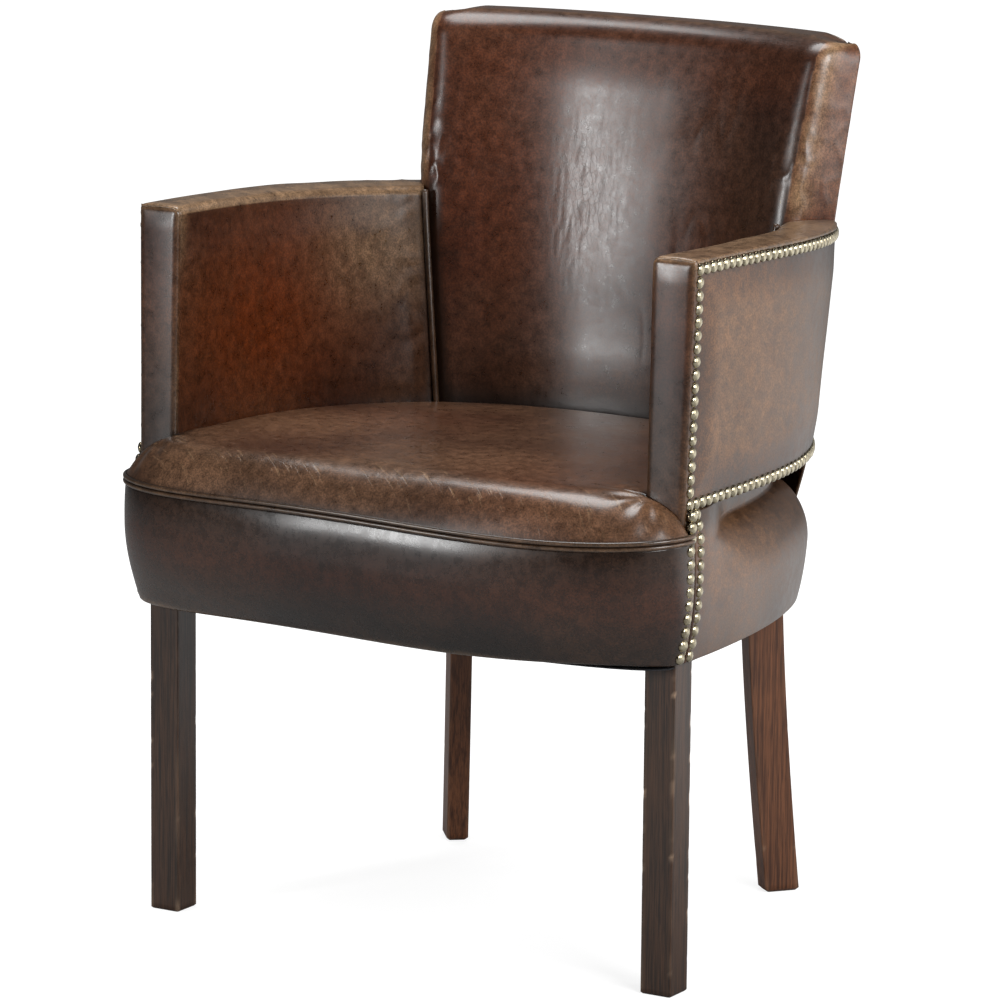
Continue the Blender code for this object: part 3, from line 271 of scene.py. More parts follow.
    def drum_ring(self, z: float, turns: np.ndarray, inset: float = 0.0) -> np.ndarray:
        """The drum's outline at a height, where rays from its hub cross it.

        The outline is two half superellipses that meet at the arm fronts, and the rear one's width
        shrinks with its depth. It is widest at the bulge and tucks in below by the square.

        Args:
            z: Height.
            turns: Angles of the rays, 0 to the right and a quarter turn to the rear.
            inset: Distance that both radii shrink by.

        Returns:
            x and y for each ray.
        """
        low = np.clip((self.drum_bulge_at - z) / (self.drum_bulge_at - self.band_bottom), 0.0, 1.2)
        high = self.shoulder_share(z)
        tuck = self.drum_tuck * low**2
        bow = self.seat_bow - (self.seat_bow - self.seat_bow_bottom) * low**2 - self.drum_shoulder * high
        wide, bow, deep = self.drum_out - tuck - inset, bow - inset, self.drum_depth - tuck - inset
        t = np.linspace(-math.pi, math.pi, 2401)
        rear = np.sin(t) >= 0
        power = np.where(rear, self.drum_power, self.drum_front_power)
        x = wide * np.sign(np.cos(t)) * np.abs(np.cos(t)) ** (2.0 / power)
        y = np.where(rear, deep, bow) * np.sign(np.sin(t)) * np.abs(np.sin(t)) ** (2.0 / power)
        x = x * (1.0 - self.drum_taper * np.maximum(y, 0.0))
        return self.cross(x, y, turns)

    def shoulder_share(self, z: float) -> float:
        """Share of the drum's tuck above its bulge, which grows by a high power of the height."""
        rise = (z - self.drum_bulge_at) / (self.seat_line - self.drum_bulge_at)
        return float(np.clip(rise, 0.0, 1.0)) ** self.shoulder_power

    def cross(self, x: np.ndarray, y: np.ndarray, turns: np.ndarray) -> np.ndarray:
        """Where rays from the hub cross a line: its radius is read off at each ray's angle.

        Args:
            x: The line's places across, from the hub.
            y: Its places in depth, from the hub.
            turns: Angles of the rays.

        Returns:
            x and y for each ray, from the world's origin.
        """
        at = np.unwrap(np.arctan2(y, x))
        order = np.argsort(at)
        at, radius = at[order], np.hypot(x, y)[order]
        wrapped = (np.asarray(turns) + math.pi) % (2.0 * math.pi) - math.pi
        reach = np.interp(wrapped, at, radius, period=2.0 * math.pi)
        return np.stack([reach * np.cos(turns), self.arm_front + reach * np.sin(turns)], axis=-1)

    def undercut(self, turns: np.ndarray) -> np.ndarray:
        """How far the drum's top has rounded in under the arms: nothing at their fronts, most behind."""
        turns = np.asarray(turns)
        return self.shoulder_cut * smooth_step(np.minimum(turns, math.pi - turns), 0.08, 0.60)

    def side_ring(self, z: float, turns: np.ndarray) -> np.ndarray:
        """The side band's outline at a height: the drum, rounded in under the arms at its top.

        The radius goes over to that of the arms and the back by the shoulder's share, and most of a
        quarter ellipse is cut from it under the arms.

        Args:
            z: Height.
            turns: Angles of the rays.

        Returns:
            x and y for each ray.
        """
        line = self.drum_ring(z, turns)
        share = np.linspace(0.0, 1.0, 60)
        right = self.arm_face(share, np.full(60, self.seat_line), True, self.leather)[:, :2]
        x = np.linspace(self.seam_out_x[0], -self.seam_out_x[0], 81)
        rear = np.column_stack([x, self.back_rear(x, np.full(81, self.seat_line)) - 0.0036])[1:-1]
        left = right[::-1] * np.array([-1.0, 1.0])
        under = np.concatenate([right, rear, left]) - np.array([0.0, self.arm_front])
        goal = self.cross(under[:, 0], under[:, 1], turns) - np.array([0.0, self.arm_front])
        flat = line - np.array([0.0, self.arm_front])
        reach = np.linalg.norm(flat, axis=1)
        goal = np.minimum(np.linalg.norm(goal, axis=1), reach)
        rise = float(np.clip((z - self.shoulder_from) / self.shoulder_rise, 0.0, 0.95))
        cut = self.undercut(turns) * (1.0 - math.sqrt(1.0 - rise**2))
        part = (reach + (goal - reach) * self.shoulder_share(z) - cut) / reach
        return flat * part[:, None] + np.array([0.0, self.arm_front])

    def even_turns(self, start: float, end: float, count: int) -> np.ndarray:
        """Ray angles from start to end that space points evenly along the drum's outline.

        Args:
            start: First angle.
            end: Last angle.
            count: Number of angles.

        Returns:
            The angles.
        """
        dense = np.linspace(start, end, 1200)
        line = self.drum_ring(self.drum_bulge_at, dense)
        run = np.concatenate([[0.0], np.cumsum(np.linalg.norm(np.diff(line, axis=0), axis=1))])
        return np.interp(np.linspace(0.0, run[-1], count), run, dense)

    def welt_level(self, x: np.ndarray) -> np.ndarray:
        """Height of the front welt's foot across the chair: a smooth line through listed levels.

        Args:
            x: Places across.

        Returns:
            Heights.
        """
        places = (-0.305, -0.17, -0.06, 0.05, 0.16, 0.215, 0.264, 0.304)
        levels = (0.4240, 0.4258, 0.4276, 0.4250, 0.4224, 0.4226, 0.4250, 0.4280)
        return np.polyval(np.polyfit(places, levels, 5), np.clip(x, -0.305, 0.305))

    def foot_level(self, x: np.ndarray) -> np.ndarray:
        """Height of the front band's foot across the chair, which rises a little to the right.

        Args:
            x: Places across.

        Returns:
            Heights.
        """
        places = (-0.295, -0.20, -0.10, 0.0, 0.10, 0.20, 0.27, 0.296)
        levels = (0.3085, 0.3105, 0.3120, 0.3102, 0.3096, 0.3130, 0.3160, 0.3152)
        return np.polyval(np.polyfit(places, levels, 5), np.clip(x, -0.296, 0.296))


FORM = ChairForm()


def linear(code: str) -> tuple[float, float, float, float]:
    """An sRGB hex colour as linear numbers with full alpha.

    Args:
        code: Six hex digits after a hash.

    Returns:
        Red, green, blue and alpha.
    """
    parts = np.array([int(code[i : i + 2], 16) / 255.0 for i in (1, 3, 5)])
    flat = np.where(parts <= 0.04045, parts / 12.92, ((parts + 0.055) / 1.055) ** 2.4)
    return (float(flat[0]), float(flat[1]), float(flat[2]), 1.0)


def add(
    tree: bpy.types.NodeTree, kind: str, settings: dict | None = None, **sockets: object
) -> bpy.types.Node:
    """Adds a node, sets its properties and fills or links its sockets.

    Args:
        tree: Node tree that gets the node.
        kind: The node's type, such as ShaderNodeMath.
        settings: The node's properties by name.
        sockets: Values or output sockets by the input's name, with _ for a space, or n0, n1 and so on
            for an input by its number.

    Returns:
        The new node.
    """
    node = tree.nodes.new(kind)
    for name, value in (settings or {}).items():
        setattr(node, name, value)
    for name, value in sockets.items():
        known = name.startswith("n") and name[1:].isdigit()
        socket = node.inputs[int(name[1:])] if known else node.inputs[name.replace("_", " ")]
        if isinstance(value, bpy.types.NodeSocket):
            tree.links.new(value, socket)
        else:
            socket.default_value = value
    return node


def ramp(
    tree: bpy.types.NodeTree, factor: bpy.types.NodeSocket, low: float, high: float
) -> bpy.types.NodeSocket:
    """A clamped smooth rise of a factor from 0 at low to 1 at high.

    Args:
        tree: Node tree that gets the node.
        factor: Socket that is read.
        low: Value that gives 0.
        high: Value that gives 1, below low for a fall.

    Returns:
        The node's socket.
    """
    node = add(tree, "ShaderNodeMapRange", {"interpolation_type": "SMOOTHSTEP"}, Value=factor)
    node.inputs["From Min"].default_value = low
    node.inputs["From Max"].default_value = high
    return node.outputs[0]


def blend_colours(
    tree: bpy.types.NodeTree, factor: object, first: object, second: object, mode: str = "MIX"
) -> bpy.types.NodeSocket:
    """Two colours mixed by a factor.

    Args:
        tree: Node tree that gets the node.
        factor: Share of the second colour, as a number or a socket.
        first: Colour or socket.
        second: Colour or socket.
        mode: How they mix.

    Returns:
        The node's socket.
    """
    settings = {"data_type": "RGBA", "blend_type": mode}
    node = add(tree, "ShaderNodeMix", settings, n0=factor, n6=first, n7=second)
    return node.outputs[2]


def product(
    tree: bpy.types.NodeTree, first: object, second: object, kind: str = "MULTIPLY"
) -> bpy.types.NodeSocket:
    """Two numbers joined by a clamped math node, a product unless another kind is asked for.

    Args:
        tree: Node tree that gets the node.
        first: Number or socket.
        second: Number or socket.
        kind: The math node's operation.

    Returns:
        The node's socket.
    """
    settings = {"operation": kind, "use_clamp": True}
    return add(tree, "ShaderNodeMath", settings, n0=first, n1=second).outputs[0]


def noise(
    tree: bpy.types.NodeTree, at: object, size_mm: float, detail: float, roughness: float = 0.5
) -> bpy.types.NodeSocket:
    """Noise from 0 to 1, with the size of its largest marks in millimetres.

    Args:
        tree: Node tree that gets the node.
        at: Socket with the place.
        size_mm: Size of the largest marks.
        detail: Number of finer layers.
        roughness: Strength of each finer layer, as a share of the one before.

    Returns:
        The node's socket.
    """
    scale = 1.0 / (size_mm * MM)
    node = add(tree, "ShaderNodeTexNoise", Vector=at, Scale=scale, Detail=detail, Roughness=roughness)
    return node.outputs[0]


def new_material(name: str) -> tuple[bpy.types.Material, bpy.types.NodeTree, bpy.types.Node]:
    """A new node material.

    Args:
        name: The material's name.

    Returns:
        The material, its node tree and its Principled shader.
    """
    made = bpy.data.materials.new(name)
    made.use_nodes = True
    return made, made.node_tree, made.node_tree.nodes["Principled BSDF"]


@dataclass(frozen=True)
class AntiquedLeather:
    """Waxed pull-up cowhide, drum dyed brown and antiqued by hand.

    Painted shade darkens it towards its seams and corners, the wax gives a soft shine, and where the hide is
    rubbed it turns to a lighter tan. Attributes on the mesh say where: worn on rubbed edges, and painted
    highlight and sheen in a few places; warm where the dye is thin; deep for painted shade in seams, corners,
    under parts and on sides turned from the light; crazed where the finish has cracked and scuffed where it
    is scratched.
    The real grain is under a millimetre wide, and it is drawn at 1.7 mm so that it shows.
    """

    name: str
    # Colour of the finish's cracks, and of the painted shade that the deep mark lays in seams and on shaded
    # sides.
    deep: str = "#170D07"
    shade: str = "#27170D"
    body: str = "#4A2F1D"
    warm: str = "#6B2E0C"
    rubbed: str = "#A58362"
    patch_mm: float = 150.0
    cloud_mm: float = 25.0
    mottle_mm: float = 11.0
    craze_mm: float = 5.0
    grain_mm: float = 1.7
    scratch_mm: float = 3.0
    roughness: float = 0.31
    coat: float = 0.22

    def make(self) -> bpy.types.Material:
        """Builds the material.

        Returns:
            The new material.
        """
        made, tree, shader = new_material(self.name)
        at = add(tree, "ShaderNodeTexCoord").outputs["Object"]
        marks = {
            key: add(tree, "ShaderNodeAttribute", {"attribute_name": key}).outputs["Fac"]
            for key in ("worn", "warm", "deep", "crazed", "scuffed")
        }
        patch = noise(tree, at, self.patch_mm, 3.0)
        cloud = noise(tree, at, self.cloud_mm, 6.0, 0.6)
        mottle = noise(tree, at, self.mottle_mm, 7.0, 0.72)
        grain = noise(tree, at, self.grain_mm, 2.0)
        crack = self.cracks(tree, at, marks["crazed"])
        scratch = self.scratches(tree, at, marks["scuffed"])
        colour = blend_colours(tree, ramp(tree, patch, 0.32, 0.66), linear(self.shade), linear(self.body))
        warm = product(tree, marks["warm"], ramp(tree, cloud, -0.15, 0.62))
        colour = blend_colours(tree, warm, colour, linear(self.warm))
        # The worn mark lightens rubbed places to tan; where a piece sets it on faces that catch the light, it
        # is a painted highlight and sheen.
        rub = product(tree, marks["worn"], ramp(tree, cloud, 0.10, 0.62))
        colour = blend_colours(tree, rub, colour, linear(self.rubbed))
        colour = blend_colours(tree, product(tree, scratch, 0.5), colour, linear(self.rubbed))
        uneven = blend_colours(tree, ramp(tree, mottle, 0.34, 0.68), linear("#BDBDBD"), linear("#FFFFFF"))
        colour = blend_colours(tree, 1.0, colour, uneven, "MULTIPLY")
        pores = blend_colours(tree, ramp(tree, grain, 0.35, 0.65), linear("#C0C0C0"), linear("#FFFFFF"))
        colour = blend_colours(tree, 1.0, colour, pores, "MULTIPLY")
        colour = blend_colours(tree, product(tree, crack, 0.45), colour, linear(self.deep))
        # Painted shade: the deep mark darkens seams, corners, the feet of parts and sides turned from the
        # light.
        colour = blend_colours(tree, product(tree, marks["deep"], 0.9), colour, linear(self.deep))
        tree.links.new(colour, shader.inputs["Base Color"])
        shine = add(tree, "ShaderNodeMapRange", Value=mottle)
        shine.inputs["From Min"].default_value = 0.3
        shine.inputs["From Max"].default_value = 0.7
        shine.inputs["To Min"].default_value = self.roughness - 0.06
        shine.inputs["To Max"].default_value = self.roughness + 0.08
        tree.links.new(shine.outputs[0], shader.inputs["Roughness"])
        skin = add(tree, "ShaderNodeBump", Strength=0.25, Distance=0.0001, Height=grain).outputs[0]
        lines = add(tree, "ShaderNodeMath", {"operation": "MAXIMUM"}, n0=crack, n1=scratch).outputs[0]
        creased = add(tree, "ShaderNodeBump", {"invert": True}, Strength=0.35, Distance=0.0003, Height=lines,
                      Normal=skin).outputs[0]
        tree.links.new(creased, shader.inputs["Normal"])
        shader.inputs["Coat Weight"].default_value = self.coat
        shader.inputs["Coat Roughness"].default_value = 0.22
        return made

    def cracks(self, tree: bpy.types.NodeTree, at: object, where: object) -> bpy.types.NodeSocket:
        """Fine cracks of the finish: edges of warped cells, kept where the mark asks for them.

        Args:
            tree: Node tree that gets the nodes.
            at: Socket with the place.
            where: Socket with the mark.

        Returns:
            Socket with 1 on the cracks.
        """
        warp = add(tree, "ShaderNodeTexNoise", Vector=at, Scale=0.6 / (self.craze_mm * MM), Detail=3.0)
        bent = add(tree, "ShaderNodeVectorMath", {"operation": "MULTIPLY_ADD"}, n0=warp.outputs[1],
                   n1=(1.2 * self.craze_mm * MM,) * 3, n2=at).outputs[0]
        narrow = add(tree, "ShaderNodeMapping", Vector=bent, Scale=(1.0, 1.0, 0.55)).outputs[0]
        cells = add(tree, "ShaderNodeTexVoronoi", {"feature": "DISTANCE_TO_EDGE"}, Vector=narrow,
                    Scale=1.0 / (self.craze_mm * MM)).outputs[0]
        return product(tree, ramp(tree, cells, 0.09, 0.0), where)

    def scratches(self, tree: bpy.types.NodeTree, at: object, where: object) -> bpy.types.NodeSocket:
        """Slanting scratches: noise drawn out along a line, cut to its thin peaks.

        Args:
            tree: Node tree that gets the nodes.
            at: Socket with the place.
            where: Socket with the mark.

        Returns:
            Socket with 1 on the scratches.
        """
        turned = add(tree, "ShaderNodeMapping", Vector=at, Rotation=(0.0, 0.0, -0.95)).outputs[0]
        drawn = add(tree, "ShaderNodeMapping", Vector=turned, Scale=(1.0, 0.07, 0.10)).outputs[0]
        lines = noise(tree, drawn, self.scratch_mm, 3.0, 0.55)
        return product(tree, ramp(tree, lines, 0.61, 0.68), where)


@dataclass(frozen=True)
class StainedBeech:
    """Beech stained dark and lacquered satin, rubbed through to paler wood at its edges."""

    name: str
    dark: str = "#1C110A"
    light: str = "#422B1C"
    bare: str = "#A88D74"
    grain_mm: float = 2.2
    pore_mm: float = 2.2 / 3.4
    stain_mm: float = 1000.0 / 14.0
    roughness: float = 0.40

    def make(self) -> bpy.types.Material:
        """Builds the material.

        Returns:
            The new material.
        """
        made, tree, shader = new_material(self.name)
        at = add(tree, "ShaderNodeTexCoord").outputs["Object"]
        along = add(tree, "ShaderNodeMapping", Vector=at, Scale=(1.0, 1.0, 0.025)).outputs[0]
        rings = noise(tree, along, self.grain_mm, 6.0, 0.62)
        pores = noise(tree, along, self.pore_mm, 3.0)
        wide = noise(tree, at, self.stain_mm, 3.0)
        worn = add(tree, "ShaderNodeAttribute", {"attribute_name": "worn"}).outputs["Fac"]
        colour = blend_colours(tree, ramp(tree, rings, 0.32, 0.66), linear(self.dark), linear(self.light))
        open_pores = product(tree, ramp(tree, pores, 0.46, 0.36), 0.8)
        colour = blend_colours(tree, open_pores, colour, linear(self.dark))
        thin_stain = product(tree, ramp(tree, wide, 0.45, 0.75), 0.35)
        colour = blend_colours(tree, thin_stain, colour, linear(self.light))
        rub = product(tree, worn, ramp(tree, wide, 0.35, 0.55))
        colour = blend_colours(tree, rub, colour, linear(self.bare))
        tree.links.new(colour, shader.inputs["Base Color"])
        shader.inputs["Roughness"].default_value = self.roughness
        relief = add(tree, "ShaderNodeBump", Strength=0.35, Distance=0.0004, Height=pores).outputs[0]
        tree.links.new(relief, shader.inputs["Normal"])
        return made


@dataclass(frozen=True)
class AntiqueBrass:
    """Pressed brass nail heads, rubbed bright on their crowns, with a brown patina in the low places."""

    name: str = "antique_brass"
    patina: str = "#5A4A32"
    brass: str = "#BCB39A"
    spot_mm: float = 4.0
    roughness: float = 0.27

    def make(self) -> bpy.types.Material:
        """Builds the material.

        Returns:
            The new material.
        """
        made, tree, shader = new_material(self.name)
        at = add(tree, "ShaderNodeTexCoord").outputs["Object"]
        spots = noise(tree, at, self.spot_mm, 4.0)
        low = add(tree, "ShaderNodeAttribute", {"attribute_name": "deep"}).outputs["Fac"]
        mixed = product(tree, ramp(tree, spots, 0.40, 0.72), 0.55)
        colour = blend_colours(tree, mixed, linear(self.brass), linear(self.patina))
        colour = blend_colours(tree, low, colour, linear(self.patina))
        tree.links.new(colour, shader.inputs["Base Color"])
        shader.inputs["Metallic"].default_value = 1.0
        shader.inputs["Roughness"].default_value = self.roughness
        return made


@dataclass(frozen=True)
class PlainStuff:
    """An inner material of two close tones with a fine grain: raw beech, foam, jute, steel or cambric."""

    name: str
    first: str
    second: str
    grain_mm: float
    roughness: float
    metallic: float = 0.0
    stretch: tuple[float, float, float] = (1.0, 1.0, 1.0)

    def make(self) -> bpy.types.Material:
        """Builds the material.

        Returns:
            The new material.
        """
        made, tree, shader = new_material(self.name)
        at = add(tree, "ShaderNodeTexCoord").outputs["Object"]
        along = add(tree, "ShaderNodeMapping", Vector=at, Scale=self.stretch).outputs[0]
        grain = noise(tree, along, self.grain_mm, 5.0)
        colour = blend_colours(tree, ramp(tree, grain, 0.3, 0.7), linear(self.first), linear(self.second))
        tree.links.new(colour, shader.inputs["Base Color"])
        shader.inputs["Roughness"].default_value = self.roughness
        shader.inputs["Metallic"].default_value = self.metallic
        relief = add(tree, "ShaderNodeBump", Strength=0.3, Distance=0.0004, Height=grain).outputs[0]
        tree.links.new(relief, shader.inputs["Normal"])
        return made


def grid_faces(rows: int, cols: int, wrap: bool, shift: int = 0) -> np.ndarray:
    """Quads of a grid of points, row by row.

    Args:
        rows: Number of rows.
        cols: Number of points in a row.
        wrap: Whether the last point of a row joins the first.
        shift: Number of the grid's first point.

    Returns:
        Four point numbers for each quad.
    """
    span = cols if wrap else cols - 1
    i, j = np.meshgrid(np.arange(rows - 1), np.arange(span), indexing="ij")
    k = (j + 1) % cols
    quads = np.stack([i * cols + j, i * cols + k, (i + 1) * cols + k, (i + 1) * cols + j], axis=-1)
    return quads.reshape(-1, 4) + shift


def put_mesh(
    name: str,
    points: np.ndarray,
    faces: list,
    stuff: bpy.types.Material,
    marks: dict[str, np.ndarray] | None = None,
) -> bpy.types.Object:
    """Makes an object at the origin from points and faces, shaded smooth.

    Args:
        name: Name of the piece.
        points: Places, one row of x, y and z each.
        faces: Point numbers of each face.
        stuff: Material.
        marks: Attributes by name, with one number for each point.

    Returns:
        The new object.
    """
    mesh = bpy.data.meshes.new(name)
    mesh.from_pydata(points, [], faces)
    for key, values in (marks or {}).items():
        layer = mesh.attributes.new(key, "FLOAT", "POINT")
        layer.data.foreach_set("value", np.clip(values, 0.0, 1.0).astype(np.float32).ravel())
    mesh.polygons.foreach_set("use_smooth", np.ones(len(mesh.polygons), dtype=bool))
    mesh.materials.append(stuff)
    made = bpy.data.objects.new(name, mesh)
    bpy.context.scene.collection.objects.link(made)
    return made


def surface_normals(grid: np.ndarray, wrap: bool = False) -> np.ndarray:
    """Unit normals of a grid: the cross product of its slopes along rows and columns.

    Args:
        grid: Points in rows and columns.
        wrap: Whether rows close on themselves.

    Returns:
        A direction for each point.
    """
    if wrap:
        padded = np.concatenate([grid[:, -1:], grid, grid[:, :1]], axis=1)
        along = np.gradient(padded, axis=1)[:, 1:-1]
    else:
        along = np.gradient(grid, axis=1)
    normal = np.cross(along, np.gradient(grid, axis=0))
    return normal / np.maximum(np.linalg.norm(normal, axis=-1, keepdims=True), 1e-12)


def face_outwards(made: bpy.types.Object) -> None:
    """Turns a closed piece the right way round, so that its signed volume is positive.

    Args:
        made: The piece.
    """
    volume = sum(p.center.dot(p.normal) * p.area for p in made.data.polygons)
    if volume < 0:
        made.data.flip_normals()


def grow_wall(made: bpy.types.Object, thick: float) -> None:
    """Gives a sheet its thickness, inwards from the faces that it has.

    Args:
        made: The sheet.
        thick: Its thickness.
    """
    wall = made.modifiers.new("wall", "SOLIDIFY")
    wall.thickness = thick
    wall.offset = -1.0


def hide_piece(
    name: str,
    grid: np.ndarray,
    inside: tuple[float, float, float],
    stuff: bpy.types.Material,
    relief: np.ndarray | float = 0.0,
    marks: dict[str, np.ndarray] | None = None,
    wrap: bool = False,
    thick: float = 0.002,
) -> bpy.types.Object:
    """A cut of leather: a grid surface moved outwards by its relief, with a wall grown inwards.

    Args:
        name: Name of the piece.
        grid: Points in rows and columns.
        inside: A point on the hidden side of the leather.
        stuff: Material.
        relief: Distance outwards for each point.
        marks: Attributes by name, shaped like the grid.
        wrap: Whether rows close on themselves.
        thick: Thickness of the leather.

    Returns:
        The new object.
    """
    normal = surface_normals(grid, wrap)
    rows, cols = grid.shape[:2]
    turned = float(np.sum(normal * (np.array(inside) - grid))) > 0.0
    outward = -normal if turned else normal
    moved = grid + outward * np.asarray(relief)[..., None]
    faces = grid_faces(rows, cols, wrap)
    if turned:
        faces = faces[:, ::-1]
    flat = {key: values.ravel() for key, values in (marks or {}).items()}
    made = put_mesh(name, moved.reshape(-1, 3), faces.tolist(), stuff, flat)
    grow_wall(made, thick)
    return made


def tube_along(path: np.ndarray, profile: np.ndarray, up: np.ndarray) -> np.ndarray:
    """A profile carried along a path.

    Args:
        path: Points of the path.
        profile: Points of the closed profile, sideways and upwards.
        up: Upward direction at each point of the path.

    Returns:
        A grid with one row for each point of the path.
    """
    along = np.gradient(path, axis=0)
    along /= np.linalg.norm(along, axis=1, keepdims=True)
    side = np.cross(along, up)
    side /= np.linalg.norm(side, axis=1, keepdims=True)
    rise = np.cross(side, along)
    across = side[:, None, :] * profile[None, :, :1]
    return path[:, None, :] + across + rise[:, None, :] * profile[None, :, 1:]


def evenly(line: np.ndarray, count: int) -> np.ndarray:
    """Evenly spaced points along a line, by its running length.

    Args:
        line: Points of the line.
        count: Number of points wanted.

    Returns:
        The points.
    """
    run = np.concatenate([[0.0], np.cumsum(np.linalg.norm(np.diff(line, axis=0), axis=1))])
    at = np.linspace(0.0, run[-1], count)
    return np.column_stack([np.interp(at, run, line[:, k]) for k in range(line.shape[1])])


def closed_tube(
    name: str, rows: np.ndarray, stuff: bpy.types.Material, marks: dict | None = None
) -> bpy.types.Object:
    """A tube of rows whose two ends are closed by a fan, with its faces turned outwards.

    Args:
        name: Name of the piece.
        rows: Points, one closed row for each place along it.
        stuff: Material.
        marks: Attributes by name, shaped like the rows.

    Returns:
        The new object.
    """
    count, sides = rows.shape[:2]
    ends = rows[[0, -1]].mean(axis=1)
    points = np.concatenate([rows.reshape(-1, 3), ends])
    faces = grid_faces(count, sides, True).tolist()
    last = (count - 1) * sides
    for j in range(sides):
        k = (j + 1) % sides
        faces.append([count * sides, k, j])
        faces.append([count * sides + 1, last + j, last + k])
    flat = {key: np.concatenate([v.ravel(), v[[0, -1]].mean(axis=1)]) for key, v in (marks or {}).items()}
    made = put_mesh(name, points, faces, stuff, flat)
    face_outwards(made)
    return made


def dome_row(
    name: str, spots: np.ndarray, outward: np.ndarray, stuff: bpy.types.Material, seed: int
) -> bpy.types.Object:
    """A row of pressed nail heads: a dome with a turned edge, set on each spot with a slight tilt.

    The dome's height falls from its crown by the square root of one minus the radius squared.

    Args:
        name: Name of the piece.
        spots: Centres of the nails on the leather.
        outward: Unit directions away from the leather.
        stuff: Material.
        seed: Number that picks the small errors of a hand-set row.

    Returns:
        The new object.
    """
    draw = np.random.default_rng(seed)
    radius, rise, sides = 0.00590, 0.0034, 14
    levels = np.array([1.0, 1.0, 0.90, 0.70, 0.42, 0.14])
    tall = np.concatenate([[-0.0016, 0.0], rise * np.sqrt(1.0 - levels[2:] ** 2)])
    spin = np.linspace(0.0, 2.0 * math.pi, sides, endpoint=False)
    ring = np.stack([np.cos(spin), np.sin(spin)], axis=-1)
    shape = np.concatenate(
        [np.concatenate([ring * radius * s, np.full((sides, 1), t)], axis=1) for s, t in zip(levels, tall)]
    )
    shape = np.concatenate([shape, [[0.0, 0.0, rise], [0.0, 0.0, tall[0]]]])
    shade = np.repeat([0.8, 0.55, 0.12, 0.0, 0.0, 0.0], sides)
    shade = np.concatenate([shade, [0.0, 1.0]])
    faces = grid_faces(len(levels), sides, True).tolist()
    top = (len(levels) - 1) * sides
    faces += [[top + j, top + (j + 1) % sides, len(shape) - 2] for j in range(sides)]
    faces += [[(j + 1) % sides, j, len(shape) - 1] for j in range(sides)]
    count = len(spots)
    tilt = outward + draw.normal(0.0, 0.05, (count, 3))
    tilt /= np.linalg.norm(tilt, axis=1, keepdims=True)
    first = np.cross(tilt, [0.0, 0.0, 1.0])
    first /= np.linalg.norm(first, axis=1, keepdims=True)
    second = np.cross(tilt, first)
    size = 1.0 + draw.normal(0.0, 0.015, (count, 1, 1))
    basis = np.stack([first, second, tilt], axis=1)
    placed = spots[:, None, :] + np.einsum("pk,nkc->npc", shape, basis) * size
    every = [[v + n * len(shape) for v in face] for n in range(count) for face in faces]
    made = put_mesh(name, placed.reshape(-1, 3), every, stuff, {"deep": np.tile(shade, count)})
    face_outwards(made)
    return made


def along_line(
    line: np.ndarray, pitch: float, skip_first: bool = False, skip_last: bool = False
) -> np.ndarray:
    """Nail places on a dense line, with a whole number of pitches between its ends.

    Args:
        line: Points of the line.
        pitch: Wished distance between nails.
        skip_first: Whether the place at the line's start is left out.
        skip_last: Whether the one at its end is.

    Returns:
        The places.
    """
    count = int(round(np.linalg.norm(np.diff(line, axis=0), axis=1).sum() / pitch))
    places = evenly(line, count + 1)
    return places[int(skip_first) : len(places) - int(skip_last)]


@dataclass
class Finishes:
    """The materials of the chair, made once."""

    arm: bpy.types.Material
    back: bpy.types.Material
    seat: bpy.types.Material
    drum: bpy.types.Material
    outside: bpy.types.Material
    piping: bpy.types.Material
    legs: bpy.types.Material
    rear_legs: bpy.types.Material
    brass: bpy.types.Material

    @classmethod
    def make(cls) -> Finishes:
        """Builds all the visible finishes.

        Returns:
            The finishes.
        """
        return cls(
            arm=AntiquedLeather("antiqued_leather_arm", shade="#2C190E", body="#52341F").make(),
            back=AntiquedLeather("antiqued_leather_back", shade="#2E1C12", body="#523523").make(),
            # Painted light: the seat's copy is lighter for the light that falls on the seat's top.
            seat=AntiquedLeather("antiqued_leather_seat_painted_light", shade="#4C3120", body="#77553D").make(),
            # Painted shade: the drum's copy, on the front band, is darker for the band's front turned from
            # the light.
            drum=AntiquedLeather(
                "antiqued_leather_drum_painted_shade", shade="#1E130C", body="#3C281B", roughness=0.27
            ).make(),
            # Painted light: the outside's copy is lighter for the light and reflection on the outer panels
            # and side band; the outside back wears it too.
            outside=AntiquedLeather(
                "antiqued_leather_outside_painted_light", shade="#41281A", body="#714D33", warm="#845A39",
                roughness=0.36, coat=0.06,
            ).make(),
            piping=AntiquedLeather("antiqued_leather_piping").make(),
            legs=StainedBeech("stained_beech").make(),
            rear_legs=StainedBeech("stained_beech_red", dark="#361D10", light="#6A4128").make(),
            brass=AntiqueBrass().make(),
        )


def place(piece: bpy.types.Object, slot: str, *nodes: str) -> bpy.types.Object:
    """Rides a piece on the chair and hides the solids that it stands for.

    Args:
        piece: The piece.
        slot: Name of its finish slot, which is not used.
        nodes: Names of the solids that it replaces.

    Returns:
        The same piece.
    """
    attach(piece, ROOT)
    if nodes:
        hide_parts(*nodes)
    LOG.info("%s: %d faces", piece.name, len(piece.data.polygons))
    return piece


